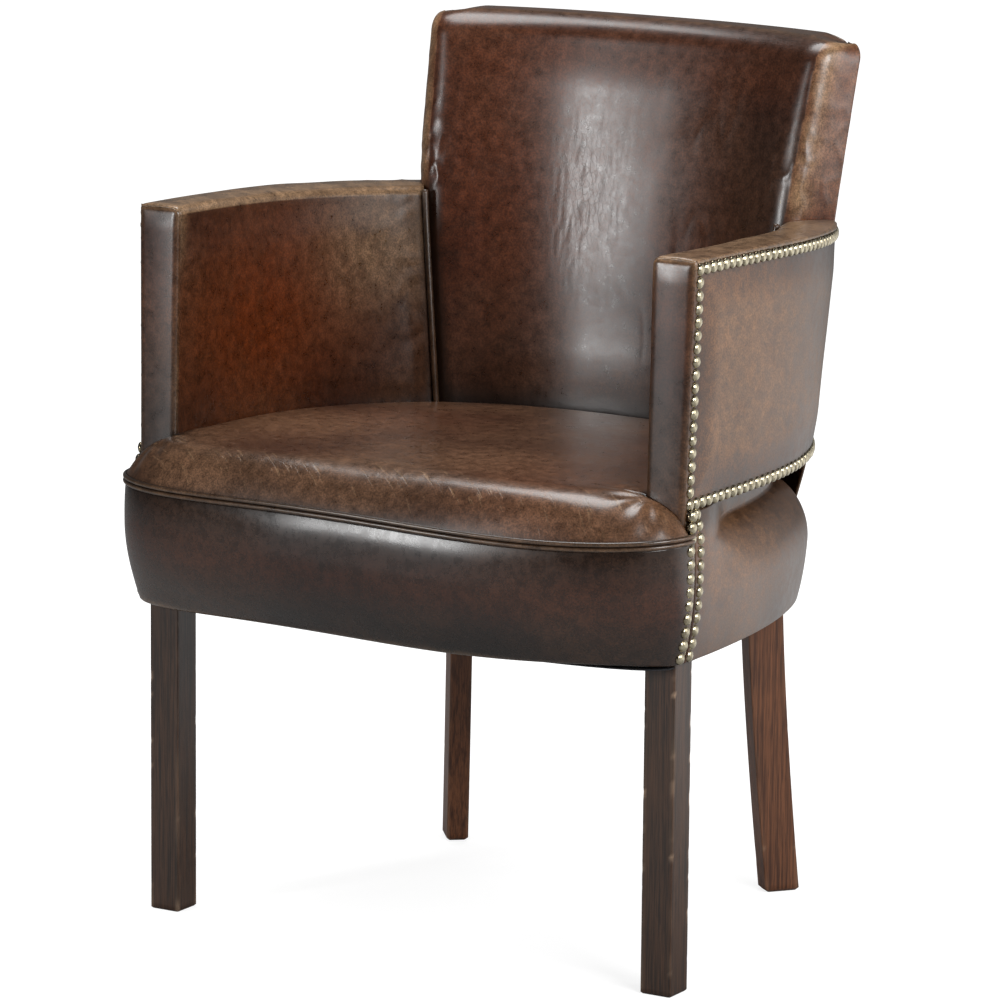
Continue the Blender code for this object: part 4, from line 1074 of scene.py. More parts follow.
@dataclass
class Arm:
    """One arm: the cover over its inside and top, its front facing and its nailed outer panel."""

    side: Side
    form: ChairForm
    finishes: Finishes
    corner: float = 0.0075
    corner_out: float = 0.0022
    lip: float = 0.0028
    inside_drop: float = 0.22
    foot_lap: float = 0.006
    facing_lap: float = 0.012
    facing_proud: float = 0.0014
    facing_roll: tuple[float, float] = (0.0040, 0.0070)
    crown: float = 0.0016
    padding: float = 0.0030
    nail_pitch: float = 0.0119
    nail_from_top: float = 0.0060
    nail_from_front: float = 0.0086
    nail_from_foot: float = 0.0064
    hem_share: float = 0.6

    def build(self) -> None:
        """Builds the arm's pieces."""
        self.cover()
        self.facing()
        self.panel()

    def mirrored(self, grid: np.ndarray) -> np.ndarray:
        """The grid of the right arm, or its mirror image for the left one."""
        return grid * np.array([self.side.value, 1.0, 1.0])

    @property
    def centre(self) -> tuple[float, float, float]:
        """A point inside the arm."""
        return (self.side.value * (self.form.arm_in + self.form.arm_out) / 2.0, 0.0, 0.57)

    def section(self, rows: int) -> tuple[np.ndarray, np.ndarray]:
        """The arm's section from its inner foot over the top to its outer lip.

        Straight up the inside, a quarter circle, a crowned top, a small quarter circle and a lip.

        Args:
            rows: Number of points along the section.

        Returns:
            Distance across from the inside face, as a share of the arm's width, and drop from the top.
        """
        inner = np.linspace(0.0, math.pi / 2, 9)
        outer = np.linspace(0.0, math.pi / 2, 5)
        wide = self.form.arm_out - self.form.arm_in
        across = np.concatenate([
            [0.0],
            self.corner * (1.0 - np.cos(inner)),
            wide - self.corner_out * (1.0 - np.sin(outer)),
            [wide],
        ])
        drop = np.concatenate([
            [self.inside_drop],
            self.corner * (1.0 - np.sin(inner)),
            self.corner_out * (1.0 - np.cos(outer)),
            [self.lip + 0.0004],
        ])
        run = np.concatenate([[0.0], np.cumsum(np.hypot(np.diff(across), np.diff(drop)))])
        up_the_inside = np.linspace(0.0, run[1], rows // 2, endpoint=False)
        at = np.concatenate([up_the_inside, np.linspace(run[1], run[-1], rows - rows // 2)])
        return np.interp(at, run, across) / wide, np.interp(at, run, drop)

    def cover(self) -> None:
        """The leather from the seat over the arm's top, padded on the inside.

        Each point is a mix of the inner and the outer face by its share across the section. Up the
        inside, heights run evenly from the seat to the corner; over the top, they follow the section.
        """
        form = self.form
        share = np.linspace(0.0, 1.0, 130)[None, :]
        across, drop = self.section(96)
        top = form.arm_top(share)
        low = form.seat_line - self.foot_lap
        straight = drop[:, None] > self.corner
        fall = (drop[:, None] / self.inside_drop - self.corner / self.inside_drop) / (
            1.0 - self.corner / self.inside_drop
        )
        start = top - self.corner
        z = np.where(straight, start - (start - low) * fall, top - drop[:, None])
        a = np.broadcast_to(across[:, None], z.shape)
        inner, outer = form.arm_face(share, z, False), form.arm_face(share, z, True)
        grid = inner * (1.0 - a[..., None]) + outer * a[..., None]
        grid[..., 2] += self.crown * np.sin(math.pi * a)
        below_top = smooth_step(z, form.arm_height - 0.01, form.arm_height - 0.06)
        height = smooth_step(z, low, low + 0.05) * below_top
        ends = smooth_step(share, 0.0, 0.10) * smooth_step(share, 1.0, 0.93)
        pillow = self.padding * height * ends
        near_seam = smooth_step(share, 0.80, 1.0) * np.ones_like(z)
        near_seat = smooth_step(z, low + 0.07, low)
        wave = 0.0010 * lattice_noise(grid, 0.055, 3 + int(self.side.value)) * ends
        creases = 0.0012 * folds(grid, (0.030, 0.030, 0.012), 11) * np.maximum(near_seam, 0.7 * near_seat)
        run = share * form.seam_at[1]
        turned = 1.0 - np.clip(run / 0.006, 0.0, 1.0)
        tucked = 0.0019 * (1.0 - np.sqrt(1.0 - turned**2))
        relief = pillow + wave + creases * ends - tucked
        edge = bump(drop, self.corner * 0.3, 0.004)[:, None] * (a < 0.5) * np.ones_like(z)
        inside = (a <= 0.001).astype(float)
        # The top and the lip are worn lighter: partly rubbing, partly a painted highlight on faces that turn
        # up to the light.
        worn = 0.20 * edge + 0.62 * (1.0 - inside) + 0.6 * bump(share, 0.0, 0.03) * smooth_step(z, 0.60, 0.68)
        # Painted highlight: a lighter patch high on the inside near the back, where the padding turns up to
        # the light.
        worn = worn + 0.55 * inside * bump(share, 0.86, 0.20) * bump(z, 0.615, 0.055)
        warm = inside * bump(share, 0.40, 0.42) * bump(z, 0.565, 0.105)
        # Painted shade: the inside darkens at its foot on the seat and beside the seam with the back.
        deep = smooth_step(z, low + 0.022, low) * inside + 0.6 * smooth_step(share, 0.965, 1.0) * inside
        marks = {"worn": worn, "warm": warm, "deep": deep}
        name = f"arm_cover_leather_{self.side.word}"
        piece = hide_piece(name, self.mirrored(grid), self.centre, self.finishes.arm, relief, marks)
        place(piece, "antiqued_leather", f"arm_cover_{self.side.word}")

    def facing(self) -> None:
        """The leather on the arm's front, rolled back at its edges and cut to the seat at its foot.

        The foot falls across the arm by the share to the power 1.5, and the edges roll back by a
        quarter circle.
        """
        form = self.form
        t = np.linspace(0.0, 1.0, 90)[:, None]
        s = np.linspace(0.0, 1.0, 34)[None, :]
        high = form.seat_line + self.facing_lap
        foot = high - (high - form.welt_bottom - form.welt_height - form.leather) * s**1.5
        z = foot + (form.arm_height - foot) * t
        from_inner = ((s * 0.043 - self.corner) / self.corner).clip(-1.0, 0.0)
        round_top = self.corner * (1.0 - np.sqrt(np.clip(1.0 - from_inner**2, 0.0, 1.0)))
        z = z - round_top * smooth_step(t, 0.9, 1.0)
        inner = form.arm_face(np.zeros_like(z), z, False)
        outer = form.arm_face(np.zeros_like(z), z, True)
        grid = inner * (1.0 - s[..., None]) + outer * s[..., None]
        edge = np.minimum(np.minimum(s, 1.0 - s) * 0.044, (1.0 - t) * 0.22)
        deep_roll, wide_roll = self.facing_roll
        to_edge = 1.0 - (edge / wide_roll).clip(0.0, 1.0)
        roll = deep_roll * (1.0 - np.sqrt(np.clip(1.0 - to_edge**2, 0.0, 1.0)))
        grid[..., 1] = form.front_of_arm(z) - self.facing_proud + roll
        pillow = 0.0014 * np.sin(math.pi * s) ** 0.7 * smooth_step(t, 1.0, 0.9)
        wave = 0.0006 * lattice_noise(grid, 0.05, 23 + int(self.side.value))
        worn = bump(edge, 0.0, 0.0045) * (0.20 + 0.55 * smooth_step(t, 0.86, 1.0))
        warm = 0.30 * bump(t, 0.75, 0.35) * np.ones_like(z)
        # Painted shade: the facing darkens at its foot, where it meets the seat.
        deep = 0.8 * smooth_step(t, 0.05, 0.0) * np.ones_like(z)
        marks = {"worn": worn, "warm": warm, "deep": deep}
        inside = (self.centre[0], form.arm_front + 0.05, 0.57)
        name = f"arm_front_leather_{self.side.word}"
        piece = hide_piece(name, self.mirrored(grid), inside, self.finishes.arm, pillow + wave, marks)
        place(piece, "antiqued_leather", f"arm_front_facing_{self.side.word}")

    def nail_rows(self) -> tuple[np.ndarray, np.ndarray]:
        """Nail places on the outer panel: a top row, a bottom row and a front column.

        Returns:
            Places, and outward directions.
        """
        form = self.form
        front = self.nail_from_front / (form.seam_at[1] + form.seam_depth[1])
        share = np.linspace(front, 0.985, 400)
        top = form.arm_face(share, form.arm_top(share) - self.lip - self.nail_from_top, True)
        low = form.arm_face(share, np.full(400, form.seat_line + self.nail_from_foot + form.fit), True)
        column = np.stack([low[0] + (top[0] - low[0]) * k for k in np.linspace(0.0, 1.0, 60)])
        spots = [along_line(top, self.nail_pitch), along_line(low, self.nail_pitch, True),
                 along_line(column, self.nail_pitch, False, True)]
        spots = np.concatenate(spots)
        share = np.interp(spots[:, 1], low[:, 1], share)
        step = form.arm_face(share + 0.01, spots[:, 2], True) - form.arm_face(share - 0.01, spots[:, 2], True)
        out = np.column_stack([step[:, 1], -step[:, 0], np.zeros(len(step))])
        out /= np.linalg.norm(out, axis=1, keepdims=True)
        return self.mirrored(spots), self.mirrored(out)

    def panel(self) -> None:
        """The outside of the arm, held by nails that dimple the leather.

        The grid runs over the outer face between the seat line and the top's lip. Three rows below it
        turn in under the arm, as far as the drum has rounded away.
        """
        form = self.form
        share = np.linspace(0.0, 1.0, 150)[None, :]
        low = form.seat_line + form.fit
        rise = np.linspace(0.0, 1.0, 80)[:, None]
        high = form.arm_top(share) - self.lip
        z = low + (high - low) * rise
        grid = form.arm_face(share, z, True)
        foot = grid[0]
        under = form.undercut(np.arctan2(foot[:, 1] - form.arm_front, foot[:, 0])) * self.hem_share
        hem = [form.arm_face(share, z[:1], True, 0.001 + under[None, :] * k) for k in (1.0, 0.5, 0.15)]
        grid = np.concatenate([*hem, grid])
        z = np.concatenate([z[:1]] * 3 + [z])
        high = np.broadcast_to(high, z.shape)
        spots, out = self.nail_rows()
        grid = self.mirrored(grid)
        edge = np.minimum(np.minimum(z - low, high - z), share * 0.39)
        near = np.full(z.shape, 1.0)
        for start in range(0, len(spots), 16):
            gap = np.linalg.norm(grid[:, :, None, :] - spots[None, None, start : start + 16, :], axis=-1)
            near = np.minimum(near, gap.min(axis=-1))
        dimple = -0.0009 * bump(near, 0.0, 0.0062)
        pillow = 0.0022 * smooth_step(edge, 0.006, 0.045)
        wave = 0.0007 * lattice_noise(grid, 0.06, 31 + int(self.side.value))
        wave = wave * smooth_step(edge, 0.0, 0.03)
        roll = -0.0014 * bump(edge, 0.0, 0.0015)
        marks = {
            "worn": 0.5 * bump(edge, 0.0, 0.002) + 0.25 * smooth_step(edge, 0.02, 0.06),
            "warm": 0.55 * smooth_step(edge, 0.01, 0.05),
            # Painted shade: a dark ring round each nail head, and a darkening towards the panel's rear and
            # top, turned from the light.
            "deep": 0.55 * bump(near, 0.0065, 0.0016)
            + 0.75 * smooth_step(share, 0.30, 1.0)
            * (0.35 + 0.65 * smooth_step(z, form.seat_line + 0.02, 0.61)),
        }
        name = f"arm_outside_leather_{self.side.word}"
        relief = pillow + wave + dimple + roll
        piece = hide_piece(name, grid, self.centre, self.finishes.outside, relief, marks)
        place(piece, "antiqued_leather", f"arm_outer_panel_{self.side.word}")
        nails = dome_row(f"arm_nails_{self.side.word}", spots - out * 0.0004, out, self.finishes.brass, 41)
        place(nails, "antiqued_leather")


@dataclass
class Back:
    """The back: its padded inside, end facings, plain outside and the piping beside the arms."""

    form: ChairForm
    finishes: Finishes
    welt_radius: float = 0.0030
    columns: int = 301
    end_round: float = 0.010
    end_drop: float = 0.008
    soften: int = 12
    foot_lap: float = 0.006
    padding: float = 0.0035
    outside_foot: float = 0.330
    outside_half: float = 0.150

    def build(self) -> None:
        """Builds the back's pieces."""
        self.skin()
        self.outside()
        for side in Side:
            self.welt(side)

    def plan(
        self, z: float, back: float, flat: float, inward: float
    ) -> tuple[np.ndarray, np.ndarray, np.ndarray]:
        """One level of the skin in plan: round one end, across the inside and round the other end.

        The corners are rounded by a moving average over evenly spaced points of the line.

        Args:
            z: Height.
            back: Distance that the roll at the top has carried the leather back.
            flat: Share of the way from the roll to the rear edge.
            inward: Distance that the ends are drawn in at the top.

        Returns:
            Points, their distance from the nearer corner and 1 for those on an end.
        """
        form = self.form
        corner_x, corner_y = form.seam_in(z)
        rear_x, rear_y = form.seam_out(z)
        corner_x, rear_x = corner_x - inward, rear_x - inward
        share = back / (rear_y - corner_y)
        share = share + (1.0 - share) * flat
        edge = np.array([corner_x + (rear_x - corner_x) * share, corner_y + (rear_y - corner_y) * share])
        u = np.linspace(1.0, -1.0, 401)
        front = form.back_front(u * corner_x, z) + back
        rear = form.back_rear(u * rear_x, z) - form.leather
        inside = np.column_stack([u * edge[0], front + (rear - front) * flat])
        t = np.linspace(0.0, 1.0, 60, endpoint=False)[:, None]
        end = np.array([rear_x, rear_y]) * (1.0 - t) + edge * t
        line = np.concatenate([end, inside, (end * np.array([-1.0, 1.0]))[::-1]])
        run = np.concatenate([[0.0], np.cumsum(np.linalg.norm(np.diff(line, axis=0), axis=1))])
        at = np.linspace(0.0, run[-1], self.columns)
        spaced = np.column_stack([np.interp(at, run, line[:, k]) for k in (0, 1)])
        steps = np.arange(1, self.soften + 1)[:, None]
        before = (spaced[0] + (spaced[0] - spaced[1]) * steps)[::-1]
        after = spaced[-1] + (spaced[-1] - spaced[-2]) * steps
        padded = np.concatenate([before, spaced, after])
        kernel = np.ones(2 * self.soften + 1) / (2 * self.soften + 1)
        soft = np.column_stack([np.convolve(padded[:, k], kernel, "valid") for k in (0, 1)])
        length = float(np.linalg.norm(np.array([rear_x, rear_y]) - edge))
        from_end = np.minimum(at, run[-1] - at)
        return soft, np.abs(from_end - length), (from_end < length).astype(float)

    def skin(self) -> None:
        """The leather of the inside back, which rolls over the top and is pulled round both ends.

        Levels go straight up, then round the roll by a quarter circle and flat to the rear edge. Its
        top corners drop by a smooth step of the distance to the rear corner.
        """
        form = self.form
        turn = np.linspace(0.0, math.pi / 2, 14)[1:]
        roll = form.top_roll
        straight = np.linspace(form.seat_line - self.foot_lap, form.height - roll, 120)
        levels = [(z, 0.0, 0.0, 0.0) for z in straight]
        for t in turn:
            rise, past = 1.0 - math.sin(t), 1.0 - math.cos(t)
            levels.append((form.height - roll * rise, roll * past, 0.0, self.end_round * past))
        levels += [(form.height, roll, k / 8.0, self.end_round) for k in range(1, 9)]
        made = [self.plan(*level) for level in levels]
        z = np.array([level[0] for level in levels])[:, None] * np.ones(self.columns)
        back = np.array([level[1] for level in levels])[:, None]
        grid = np.concatenate([np.array([m[0] for m in made]), z[..., None]], axis=-1)
        from_corner = np.array([m[1] for m in made])
        end = np.array([m[2] for m in made])
        x = grid[..., 0]
        rear_x, rear_y = form.seam_out(form.height)
        to_rear = np.hypot(np.abs(x) - rear_x + self.end_round, grid[..., 1] - rear_y)
        near_top = smooth_step(z, form.height - 0.03, form.height)
        grid[..., 2] -= self.end_drop * near_top * smooth_step(to_rear, 0.045, 0.0)
        arm_end = float(form.arm_top(1.0))
        over_arm = smooth_step(z, arm_end - 0.01, arm_end + 0.02)
        height = smooth_step(z, form.seat_line, form.seat_line + 0.06)
        height = height * smooth_step(z, form.height, form.height - 0.07)
        middle = smooth_step(from_corner, 0.0, 0.045) * (1.0 - end)
        pillow = self.padding * height * middle
        pillow = pillow + 0.0016 * end * over_arm * bump(from_corner, 0.028, 0.018)
        wave = 0.0010 * lattice_noise(grid, 0.07, 51) * height * middle
        crinkle = bump(x, -0.045, 0.035) * bump(z, 0.665, 0.075) * (1.0 - end)
        drawn = 0.0003 * folds(grid, (0.007, 0.030, 0.030), 53) * crinkle
        drawn = drawn + 0.0005 * folds(grid, (0.030, 0.030, 0.080), 57) * bump(x, 0.10, 0.06) * height
        near_arm = bump(z, 0.685, 0.055) * over_arm * bump(from_corner, 0.0, 0.04)
        pulled = 0.0016 * folds(grid, (0.016, 0.016, 0.022), 71)
        pulled = pulled * np.maximum(near_arm, 0.20 * end * over_arm)
        marks = {
            # The ends above the arms are worn lighter, and the strip beside each front corner is a painted
            # sheen; the roll over the top is lightened as rubbing and as a painted highlight.
            "worn": over_arm * end * (0.25 + 0.70 * bump(from_corner, 0.014, 0.012))
            + 0.25 * bump(back, roll * 0.8, roll * 0.25) * (back > 0.0),
            "warm": (0.60 * bump(x, -0.15, 0.09) + 0.30 * bump(x, 0.05, 0.12)) * bump(z, 0.66, 0.16)
            + 0.75 * end + 0.25 * bump(z, 0.80, 0.04),
            # Painted shade: darker at the foot on the seat, in the corners below the arms, and on the right
            # part of the inside, turned from the light.
            "deep": smooth_step(z, form.seat_line + 0.03, form.seat_line)
            + (1.0 - over_arm) * smooth_step(from_corner, 0.022, 0.004)
            + 0.35 * smooth_step(x, 0.07, 0.15) * (1.0 - end) * smooth_step(z, 0.80, 0.70),
            "crazed": 0.5 * crinkle,
            "scuffed": 0.25 * end * over_arm,
        }
        piece = hide_piece("back_inside_leather", grid, (0.0, 0.24, 0.6), self.finishes.back,
                           pillow + wave + drawn + pulled, marks)
        place(piece, "antiqued_leather", "back_inside_cover", "back_end_facing_left", "back_end_facing_right")

    def outside(self) -> None:
        """The plain outside back, which goes down behind the drum and narrows between the legs.

        Above the seat it follows the back's rear face, and below it the drum's bulge, with a smooth
        step between the two.
        """
        form = self.form
        below = np.linspace(self.outside_foot, form.seat_line, 40, endpoint=False)
        z = np.concatenate([below, np.linspace(form.seat_line, form.height - 0.0010, 90)])[:, None]
        share = np.linspace(-1.0, 1.0, 120)[None, :]
        low = np.clip((z - form.band_bottom) / (form.seat_line - form.band_bottom), 0.0, 1.0)
        above = np.clip((z - form.seat_line) / (float(form.arm_top(1.0)) - form.seat_line), 0.0, 1.0)
        narrow = self.outside_half + (form.seam_out_x[0] - self.outside_half) * low
        half = np.where(z < form.seat_line, narrow, form.seam_out(z)[0] - 0.0028 * above) - 0.0008
        x = share * half
        back = form.back_rear(x, np.maximum(z, form.seat_line))
        turns = form.even_turns(0.55, math.pi - 0.55, 300)
        ring = form.drum_ring(form.drum_bulge_at, turns, -0.0045)
        drum = np.interp(x, ring[::-1, 0], ring[::-1, 1])
        blend = smooth_step(z, 0.425, form.seat_line)
        mixed = np.maximum(drum, back) * (1.0 - blend) + back * blend
        y = np.where(z < form.seat_line, mixed, back)
        near_top = smooth_step(z, form.height - 0.03, form.height)
        x = x - np.sign(share) * self.end_round * near_top * smooth_step(np.abs(share), 0.90, 1.0)
        grid = np.stack([x, y, z - self.end_drop * near_top * smooth_step(np.abs(share), 0.81, 1.0)], axis=-1)
        wave = 0.0009 * lattice_noise(grid, 0.07, 61) * smooth_step(np.abs(share), 1.0, 0.9)
        edge = smooth_step(np.abs(share), 0.985, 1.0) * np.ones_like(x)
        marks = {"worn": 0.45 * edge + 0.2 * smooth_step(z, 0.80, 0.84) * np.ones_like(x),
                 "warm": 0.45 * bump(share, 0.0, 0.6) * bump(z, 0.62, 0.2),
                 # Painted shade: darker at its foot, under the seat behind the drum.
                 "deep": smooth_step(z, 0.345, 0.33) * np.ones_like(x)}
        inside = (0.0, 0.0, 0.6)
        piece = hide_piece("back_outside_leather", grid, inside, self.finishes.outside, wave, marks)
        place(piece, "antiqued_leather", "back_outside_cover")

    def welt(self, side: Side) -> None:
        """The piping in the seam between the arm and the back: a small circle along the seam.

        Args:
            side: Hand of the chair.
        """
        form = self.form
        z = np.linspace(form.seat_line + 0.001, float(form.arm_top(1.0)) - 0.001, 60)
        x, y = form.seam_in(z)
        reach = self.welt_radius + 0.0006
        path = np.column_stack([side.value * (x - 0.72 * reach), y - 0.69 * reach, z])
        spin = np.linspace(0.0, 2.0 * math.pi, 14, endpoint=False)
        profile = self.welt_radius * np.stack([np.cos(spin), np.sin(spin)], axis=-1)
        rows = tube_along(path, profile, np.tile([0.0, -1.0, 0.0], (60, 1)))
        marks = {"worn": np.full(rows.shape[:2], 0.10)}
        piece = closed_tube(f"seam_piping_{side.word}", rows, self.finishes.piping, marks)
        place(piece, "antiqued_leather", f"seam_welt_{side.word}")


@dataclass
class Seat:
    """The seat: its tight crowned top, the double piping along its front and the drum's bands."""

    form: ChairForm
    finishes: Finishes
    gap_at_arm: float = 0.0004
    dimple: tuple[float, float] = (0.155, 0.04)
    dent: float = 0.0022
    nail_pitch: float = 0.0119
    nail_edge: float = 0.0064
    cord_radius: float = 0.00235
    front_column: tuple[float, float] = (-0.0270, -0.0205)
    side_column: tuple[float, float] = (0.0310, 0.0480)
    band_gap: float = 0.010
    hem: tuple[tuple[float, float], ...] = ((0.0100, 0.0004), (0.0040, -0.0006), (0.0012, -0.0002))
    corner_nails: int = 3
    corner_top: tuple[float, float, float] = (0.3012, -0.1835, 0.4620)

    def build(self) -> None:
        """Builds the seat's pieces."""
        self.top()
        self.piping()
        self.front_band()
        self.side_band()

    def hub(self) -> np.ndarray:
        """The middle of the line between the arm fronts."""
        form = self.form
        return np.array([0.0, float(form.front_of_arm(form.seat_line)) - form.leather - form.fit])

    def outline(self) -> np.ndarray:
        """The seat top's edge: the drum's front, then the feet of the arms and of the back.

        Returns:
            x and y of points round the edge.
        """
        form = self.form
        hub = self.hub()
        turns = form.even_turns(-math.pi + 0.02, -0.02, 500)
        front = form.drum_ring(form.welt_bottom + form.welt_height, turns)
        front = front[front[:, 1] < hub[1] - 0.0008]
        share = np.linspace(0.0, 0.985, 120)
        inset = self.gap_at_arm - 0.001
        right = form.arm_face(share, np.full(120, form.seat_line), False)[:, :2] - np.array([inset, 0.0])
        right = right[right[:, 1] > hub[1] + 0.0008]
        edge = form.seam_in(form.seat_line)[0] - inset
        x = np.linspace(edge * 0.99, -edge * 0.99, 120)
        rear = np.column_stack([x, form.back_front(x, np.full(120, form.seat_line)) - inset])
        behind = np.concatenate([right, rear, right[::-1] * np.array([-1.0, 1.0])])
        return np.concatenate([evenly(front, 250), evenly(behind, 230)])

    def height(
        self, flat: np.ndarray, ring: np.ndarray, ahead: np.ndarray, rear_gap: np.ndarray
    ) -> np.ndarray:
        """Height of the tight seat over the floor.

        A dome that falls by the square to the arms and by the power 2.2 to the back. In front it rolls
        down to the piping by a power of the share from the hub, which is high next to the arms.

        Args:
            flat: Places in plan.
            ring: Share of the way from the hub to the edge.
            ahead: 1 for places in front of the arms.
            rear_gap: Distance to the arms and back.

        Returns:
            Heights.
        """
        form = self.form
        x, y = flat[..., 0], flat[..., 1] - self.hub()[1]
        top = form.seat_crown - 0.0035 * (x / 0.257) ** 2 - 0.018 * (np.maximum(y, 0.0) / 0.385) ** 2.2
        low = form.welt_level(x) + form.welt_height - 0.001
        aside = np.arctan2(np.maximum(-y, 0.0), np.abs(x))
        power = 4.2 + 9.8 * np.exp(-aside / 0.25)
        behind = (np.abs(x) / form.drum_out) ** power * np.exp(-np.maximum(y, 0.0) / 0.02)
        roll = np.where(ahead > 0.0, ring**power, behind)
        share = np.clip(1.0 - rear_gap / 0.020, 0.0, 1.0)
        dip = 0.006 * (1.0 - np.sqrt(1.0 - share**2)) * smooth_step(y, 0.0, 0.06)
        return top - (top - low) * roll - dip

    def top(self) -> None:
        """The tight seat: a dome that rolls down at its front and dips where it meets the arms.

        Rings run from the hub to the outline, closer together towards the edge. Pleats are the cosine
        of nine times the angle round each front corner, under a bell of the distance from it.
        """
        form = self.form
        hub = self.hub()
        edge = self.outline()
        ring = 1.0 - (1.0 - np.linspace(0.004, 1.0, 98)) ** 1.5
        flat = hub + (edge[None, :, :] - hub) * ring[:, None, None]
        x, y = flat[..., 0], flat[..., 1]
        gap = (1.0 - ring[:, None]) * np.linalg.norm(edge - hub, axis=1)[None, :]
        ahead = (edge[:, 1] < hub[1])[None, :] * np.ones(x.shape)
        front_gap = np.where(ahead > 0, gap, 1.0)
        rear_gap = np.where(ahead > 0, 1.0, gap)
        level = self.height(flat, ring[:, None], ahead, rear_gap)
        grid = np.concatenate([flat, level[..., None]], axis=-1)
        wave = 0.0008 * lattice_noise(grid, 0.075, 81) * smooth_step(gap, 0.0, 0.03)
        dimple = np.hypot(x - self.dimple[0], (y - self.dimple[1]) * 1.3)
        dents = 0.0006 * bump(dimple, 0.020, 0.009) - self.dent * bump(dimple, 0.0, 0.009)
        near_front = bump(front_gap, 0.05, 0.04)
        slack = 0.0002 * folds(grid, (0.022, 0.050, 0.03), 83) * near_front
        relief = wave + dents + slack
        pleats = np.zeros(x.shape)
        for side in Side:
            away = np.stack([(x - side.value * 0.264) * side.value, y - hub[1]], axis=-1)
            reach = np.linalg.norm(away, axis=-1)
            spoke = np.arctan2(away[..., 1], away[..., 0])
            pleats = pleats + np.cos(spoke * 9.0 + 0.7) * bump(reach, 0.026, 0.018)
        relief = relief + 0.0009 * pleats * smooth_step(gap, 0.0, 0.008)
        marks = {
            # Worn along the front is rubbing; the worn spot at the front left is rubbing and a painted sheen;
            # the warm patches at the left and the right are a painted sheen.
            "worn": 0.10 * near_front + 0.22 * bump(np.hypot(x + 0.18, y + 0.09), 0.0, 0.09),
            "warm": 0.45 * bump(np.hypot(x + 0.13, y + 0.02), 0.0, 0.13) + 0.25 * bump(x, 0.16, 0.08),
            # Painted shade: darker where the seat meets the arms and the back, and along its front edge by
            # the piping.
            "deep": smooth_step(rear_gap, 0.012, 0.0) + 0.35 * smooth_step(front_gap, 0.004, 0.0),
            "scuffed": near_front + 0.8 * bump(np.hypot(x + 0.17, y + 0.06), 0.0, 0.07),
            "crazed": 0.12 * near_front,
        }
        normal = surface_normals(grid, True)
        outward = normal * np.sign(normal[..., 2].sum())
        moved = grid + outward * relief[..., None]
        rows, cols = x.shape
        points = np.concatenate([moved.reshape(-1, 3), [[hub[0], hub[1], float(moved[0, :, 2].mean())]]])
        faces = grid_faces(rows, cols, True).tolist()
        faces += [[rows * cols, (j + 1) % cols, j] for j in range(cols)]
        flat_marks = {key: np.concatenate([v.ravel(), [v[0].mean()]]) for key, v in marks.items()}
        piece = put_mesh("seat_top_leather", points, faces, self.finishes.seat, flat_marks)
        if piece.data.polygons[cols * 30].normal.z < 0:
            piece.data.flip_normals()
        grow_wall(piece, form.leather)
        place(piece, "antiqued_leather", "seat_top_cover")

    def piping(self) -> None:
        """The double piping: two cords side by side under one strip of leather, above the band.

        The profile is two circles one above the other, joined by a flat web behind them.
        """
        form = self.form
        turns = form.even_turns(-math.pi + 0.012, -0.012, 260)
        ring = form.drum_ring(form.welt_bottom + 0.4 * form.welt_height, turns, 0.0)
        level = form.welt_level(ring[:, 0]) + form.welt_height / 2.0
        path = np.column_stack([ring, level])
        spin = np.linspace(-0.62 * math.pi, 0.62 * math.pi, 11)
        cord = self.cord_radius * np.stack([np.cos(spin), np.sin(spin)], axis=-1)
        centre = np.array([0.0, self.cord_radius])
        profile = np.concatenate([cord - centre, cord + centre]) + np.array([0.0006, 0.0])
        rows = tube_along(path, profile, np.tile([0.0, 0.0, 1.0], (len(path), 1)))
        bright = np.tile(bump(np.concatenate([spin, spin]), 0.0, 1.0), (len(path), 1))
        # Painted highlight and shade: each cord is lighter on its outer face and darker towards its top,
        # bottom and back, where the cords meet.
        marks = {"worn": 0.30 * bright, "deep": 1.0 - bright}
        piece = closed_tube("seat_front_piping", rows, self.finishes.piping, marks)
        place(piece, "antiqued_leather", "seat_front_welt")

    def band_grid(self, turns: np.ndarray, levels: np.ndarray, side: bool) -> np.ndarray:
        """The drum's surface over ray angles and heights, with a hem turned under its foot.

        Args:
            turns: Ray angles.
            levels: Heights, upwards.
            side: Whether it is the side band, which rounds in under the arms.

        Returns:
            The band's grid, from the hem up.
        """
        form = self.form
        rows = []
        for inset, rise in self.hem:
            ring = form.drum_ring(form.band_bottom, turns, inset)
            rows.append(np.column_stack([ring, np.full(len(turns), form.band_bottom + rise)]))
        for z in levels:
            ring = form.side_ring(z, turns) if side else form.drum_ring(z, turns)
            rows.append(np.column_stack([ring, np.full(len(turns), z)]))
        return np.array(rows)

    def shifted(self, grid: np.ndarray) -> np.ndarray:
        """The band's grid with its foot and top moved to the listed levels near the front.

        Args:
            grid: Points of the band.

        Returns:
            The moved points.
        """
        form = self.form
        x, y, z = grid[..., 0], grid[..., 1], grid[..., 2]
        share = np.clip((z - form.band_bottom) / (form.welt_bottom - form.band_bottom), 0.0, 1.0)
        foot = form.foot_level(x) - form.band_bottom
        top = (form.welt_level(x) - form.welt_bottom) * smooth_step(form.seat_line - z, 0.0, 0.02)
        near = np.exp(-np.maximum(y - form.arm_front, 0.0) / 0.08)
        moved = grid.copy()
        moved[..., 2] = z + near * (foot * (1.0 - share) + top * share)
        return moved

